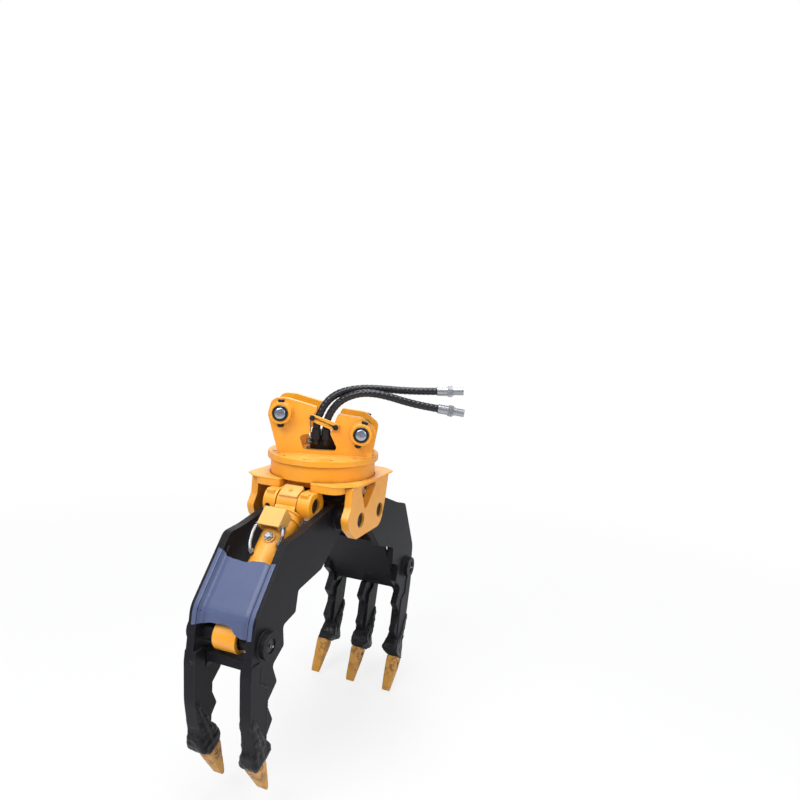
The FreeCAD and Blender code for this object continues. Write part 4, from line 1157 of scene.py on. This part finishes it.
class GRAPPLE_OT_fittings(bpy.types.Operator):
    """Oil fittings, plugs, grease nipples and the centre marks of the pins"""
    bl_idname = "grapple.fittings"
    bl_label = "Fittings and grease nipples"

    def execute(self, context):
        for side in SIDES:
            self.add_cylinder_fittings(side)
            self.add_eye_block(side)
        self.add_set_screws()
        self.add_window_plug()
        self.add_nipples()
        self.add_centre_marks()
        return {"FINISHED"}

    def add_cylinder_fittings(self, side):
        place = barrel_frame(side)
        body = side + "_cylinder_barrel"
        ports = [(Vector((5, -49, -150)), Vector((0.1, -1, 0)), 25),
                 (Vector((30, -38, -116)), Vector((0.6, -0.8, 0)), 17),
                 (Vector((-30, -38, -116)), Vector((-0.6, -0.8, 0)), 17)]
        pipes = [[(-40, -60, -117), (-46, -67, -130), (-47, -66, -150), (-44, -60, -180), (-38, -53, -200),
                  (-33, -46, -206)],
                 [(39, -60, -117), (49, -66, -128), (53, -60, -145), (50, -50, -158), (42, -40, -168)]]

        def bosses(work):
            for at, way, across in ports:
                turned(work, place @ facing(at * MM, way), [(across * 0.72, -4), (across * 0.72, 3.2),
                                                            (across * 0.66, 4.2), (8, 4.2)])

        def metal(work):
            for at, way, across in ports:
                spot = place @ facing(at * MM, way)
                hexagon(work, spot, across, 4.2, 12)
                turned(work, spot, [(across * 0.36, 12), (across * 0.40, 13), (across * 0.40, 16),
                                    (across * 0.3, 18)])
            for route in pipes:
                points = even_points([place @ (Vector(p) * MM) for p in route], 0.004)
                skin_rings(work, [loop_at(point, across, up, PIPE_RADIUS, 16)
                                  for point, across, up, forward in frames_along(points)])
                for near, far in ((points[0], points[1]), (points[-1], points[-2])):
                    hexagon(work, facing(near, far - near), 17, -2, 11)
            low = place @ facing(mm(0, -62, -256), (0, -1, 0))
            turned(work, low, [(15, -0.5), (15, 1.6), (13, 2.0)])
            hexagon(work, low, 22, 2, 7)

        new_piece(side + "_port_bosses", mesh_of("bosses", bosses, 40), "yellow_paint", body)
        new_piece(side + "_port_plugs", mesh_of("plugs", metal, 35), "fitting_zinc", body)

    def add_eye_block(self, side):
        """Raised grease block on a barrel's eye, with its plug."""
        place = barrel_frame(side)
        turn = Matrix.Rotation(math.radians(-16), 4, "X")
        block = place @ turn @ facing(mm(2, -38, 6), (0, -1, 0))

        def pad(work):
            sections = ((34, 25, 0), (34, 25, 9), (33.4, 24.4, 10.6), (32, 23, 11.6))
            skin_rings(work, [[block @ p for p in rounded_ring((-hx, hx), (-hy, hy), 5, z)]
                              for hx, hy, z in sections])

        def plug(work):
            turned(work, block, [(9, 11), (9, 12.4), (8, 13)])
            hexagon(work, block, 9, 13, 16)

        new_piece(side + "_eye_block", mesh_of("eye block", pad, 35), "yellow_paint",
                  side + "_cylinder_barrel", finish="port_paint")
        new_piece(side + "_eye_plug", mesh_of("eye plug", plug, 35), "yellow_paint",
                  side + "_cylinder_barrel")

    def add_set_screws(self):
        """Dark set screw of each barrel pin, sunk in its left saddle."""
        def build(work):
            way_out = Vector((0, -0.988, -0.152))
            spot = facing(mm(-64.5, *BARREL_PIN) + way_out * 47.2 * MM, way_out)
            for turn in (Matrix(), Matrix.Rotation(math.pi, 4, "Z")):
                turned(work, turn @ spot,
                       [(9.2, -2), (9.2, 1.2), (8.4, 1.8), (7.2, 1.8), (6.4, 0.9), (2, 0.9)])

        new_piece("saddle_set_screws", mesh_of("set screws", build, 40), "fastener_black", "turntable")

    def add_window_plug(self):
        """Bright test plug on the oil swivel, seen through the bracket's window."""
        place = facing(bracket_point((-42, -46, -68)), bracket_point((-0.35, -1, 0)))

        def build(work):
            turned(work, place, [(8.5, -14), (8.5, 4), (11, 5), (11, 9)])
            hexagon(work, place, 17, 9, 17)
            turned(work, place, [(5, 17), (5, 19), (3.6, 20.4), (1, 20.8)], 20)

        new_piece("swivel_test_plug", mesh_of("test plug", build, 35), "fitting_zinc", "bracket")

    def nipple(self, work, place):
        hexagon(work, place, 8, -1, 4)
        turned(work, place, [(2.4, 4), (2.4, 6.2), (3.4, 7.2), (3.4, 9), (2.2, 10.4), (0.8, 10.8)], 16)

    def add_nipples(self):
        for side in SIDES:
            def on_jaw(work, side=side, reach=TINE_OUTSIDE[side] + 16):
                for way in (-1, 1):
                    self.nipple(work, facing(jaw_point(side, way * reach, *ROD_PIN), (way, 0, 0)))

            new_piece(side + "_rod_pin_nipples", mesh_of("nipples", on_jaw, 35), "fitting_zinc",
                      side + "_jaw")

    def add_centre_marks(self):
        """Domed ends of the coupler pins, each in a dark ring that is painted shade of the collar round it."""
        axis = bracket_point((0, 1, 0))
        ends = [facing(bracket_point((x, way * 130, z)), axis * way)
                for x, z in COUPLER_PINS for way in (-1, 1)]

        # Painted shade: a dark ring between each crown and the collar, where the collar's inner wall is in
        # shade.
        def grease(work):
            for end in ends:
                turned(work, end, [(24.6, -1), (24.6, 0.4), (23.6, 0.9), (18.6, 0.9), (17.6, 0.2)], 48)

        def crown(work):
            for end in ends:
                turned(work, end, [(18.2, -0.5), (18.0, 0.9), (16.5, 1.9), (12, 2.8), (6, 3.2), (2.4, 3.2),
                                   (1.6, 1.6)], 48)

        new_piece("pin_end_shade_rings", mesh_of("pin end shade rings", grease, 40), "fastener_black", "bracket")
        new_piece("pin_crowns", mesh_of("pin crowns", crown, 50), "pin_steel", "bracket",
                  finish="polished_steel")


PIECE_CLASSES = (GRAPPLE_OT_stage, GRAPPLE_OT_hoses, GRAPPLE_OT_frame_finish, GRAPPLE_OT_teeth,
                 GRAPPLE_OT_plates, GRAPPLE_OT_welds, GRAPPLE_OT_fittings)


class GRAPPLE_PT_sidebar(bpy.types.Panel):
    """Sizes, colours and the steps that build the looks"""
    bl_idname = "GRAPPLE_PT_sidebar"
    bl_label = "Turning grapple"
    bl_space_type = "VIEW_3D"
    bl_region_type = "UI"
    bl_category = "Grapple"

    def draw(self, context):
        for group in (context.scene.grapple_sizes, context.scene.grapple_paint):
            for key in group.__annotations__:
                self.layout.prop(group, key)
        for piece in PIECE_CLASSES:
            self.layout.operator(piece.bl_idname)


CLASSES = (GrapplePaint, GrappleSizes, *PIECE_CLASSES, GRAPPLE_PT_sidebar)


def register():
    for item in CLASSES:
        bpy.utils.register_class(item)
    bpy.types.Scene.grapple_paint = PointerProperty(type=GrapplePaint)
    bpy.types.Scene.grapple_sizes = PointerProperty(type=GrappleSizes)


def unregister():
    del bpy.types.Scene.grapple_sizes
    del bpy.types.Scene.grapple_paint
    for item in reversed(CLASSES):
        bpy.utils.unregister_class(item)


def main():
    register()
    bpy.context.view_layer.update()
    for piece in PIECE_CLASSES:
        getattr(bpy.ops.grapple, piece.bl_idname.split(".")[1])()


if __name__ == "__main__":
    main()
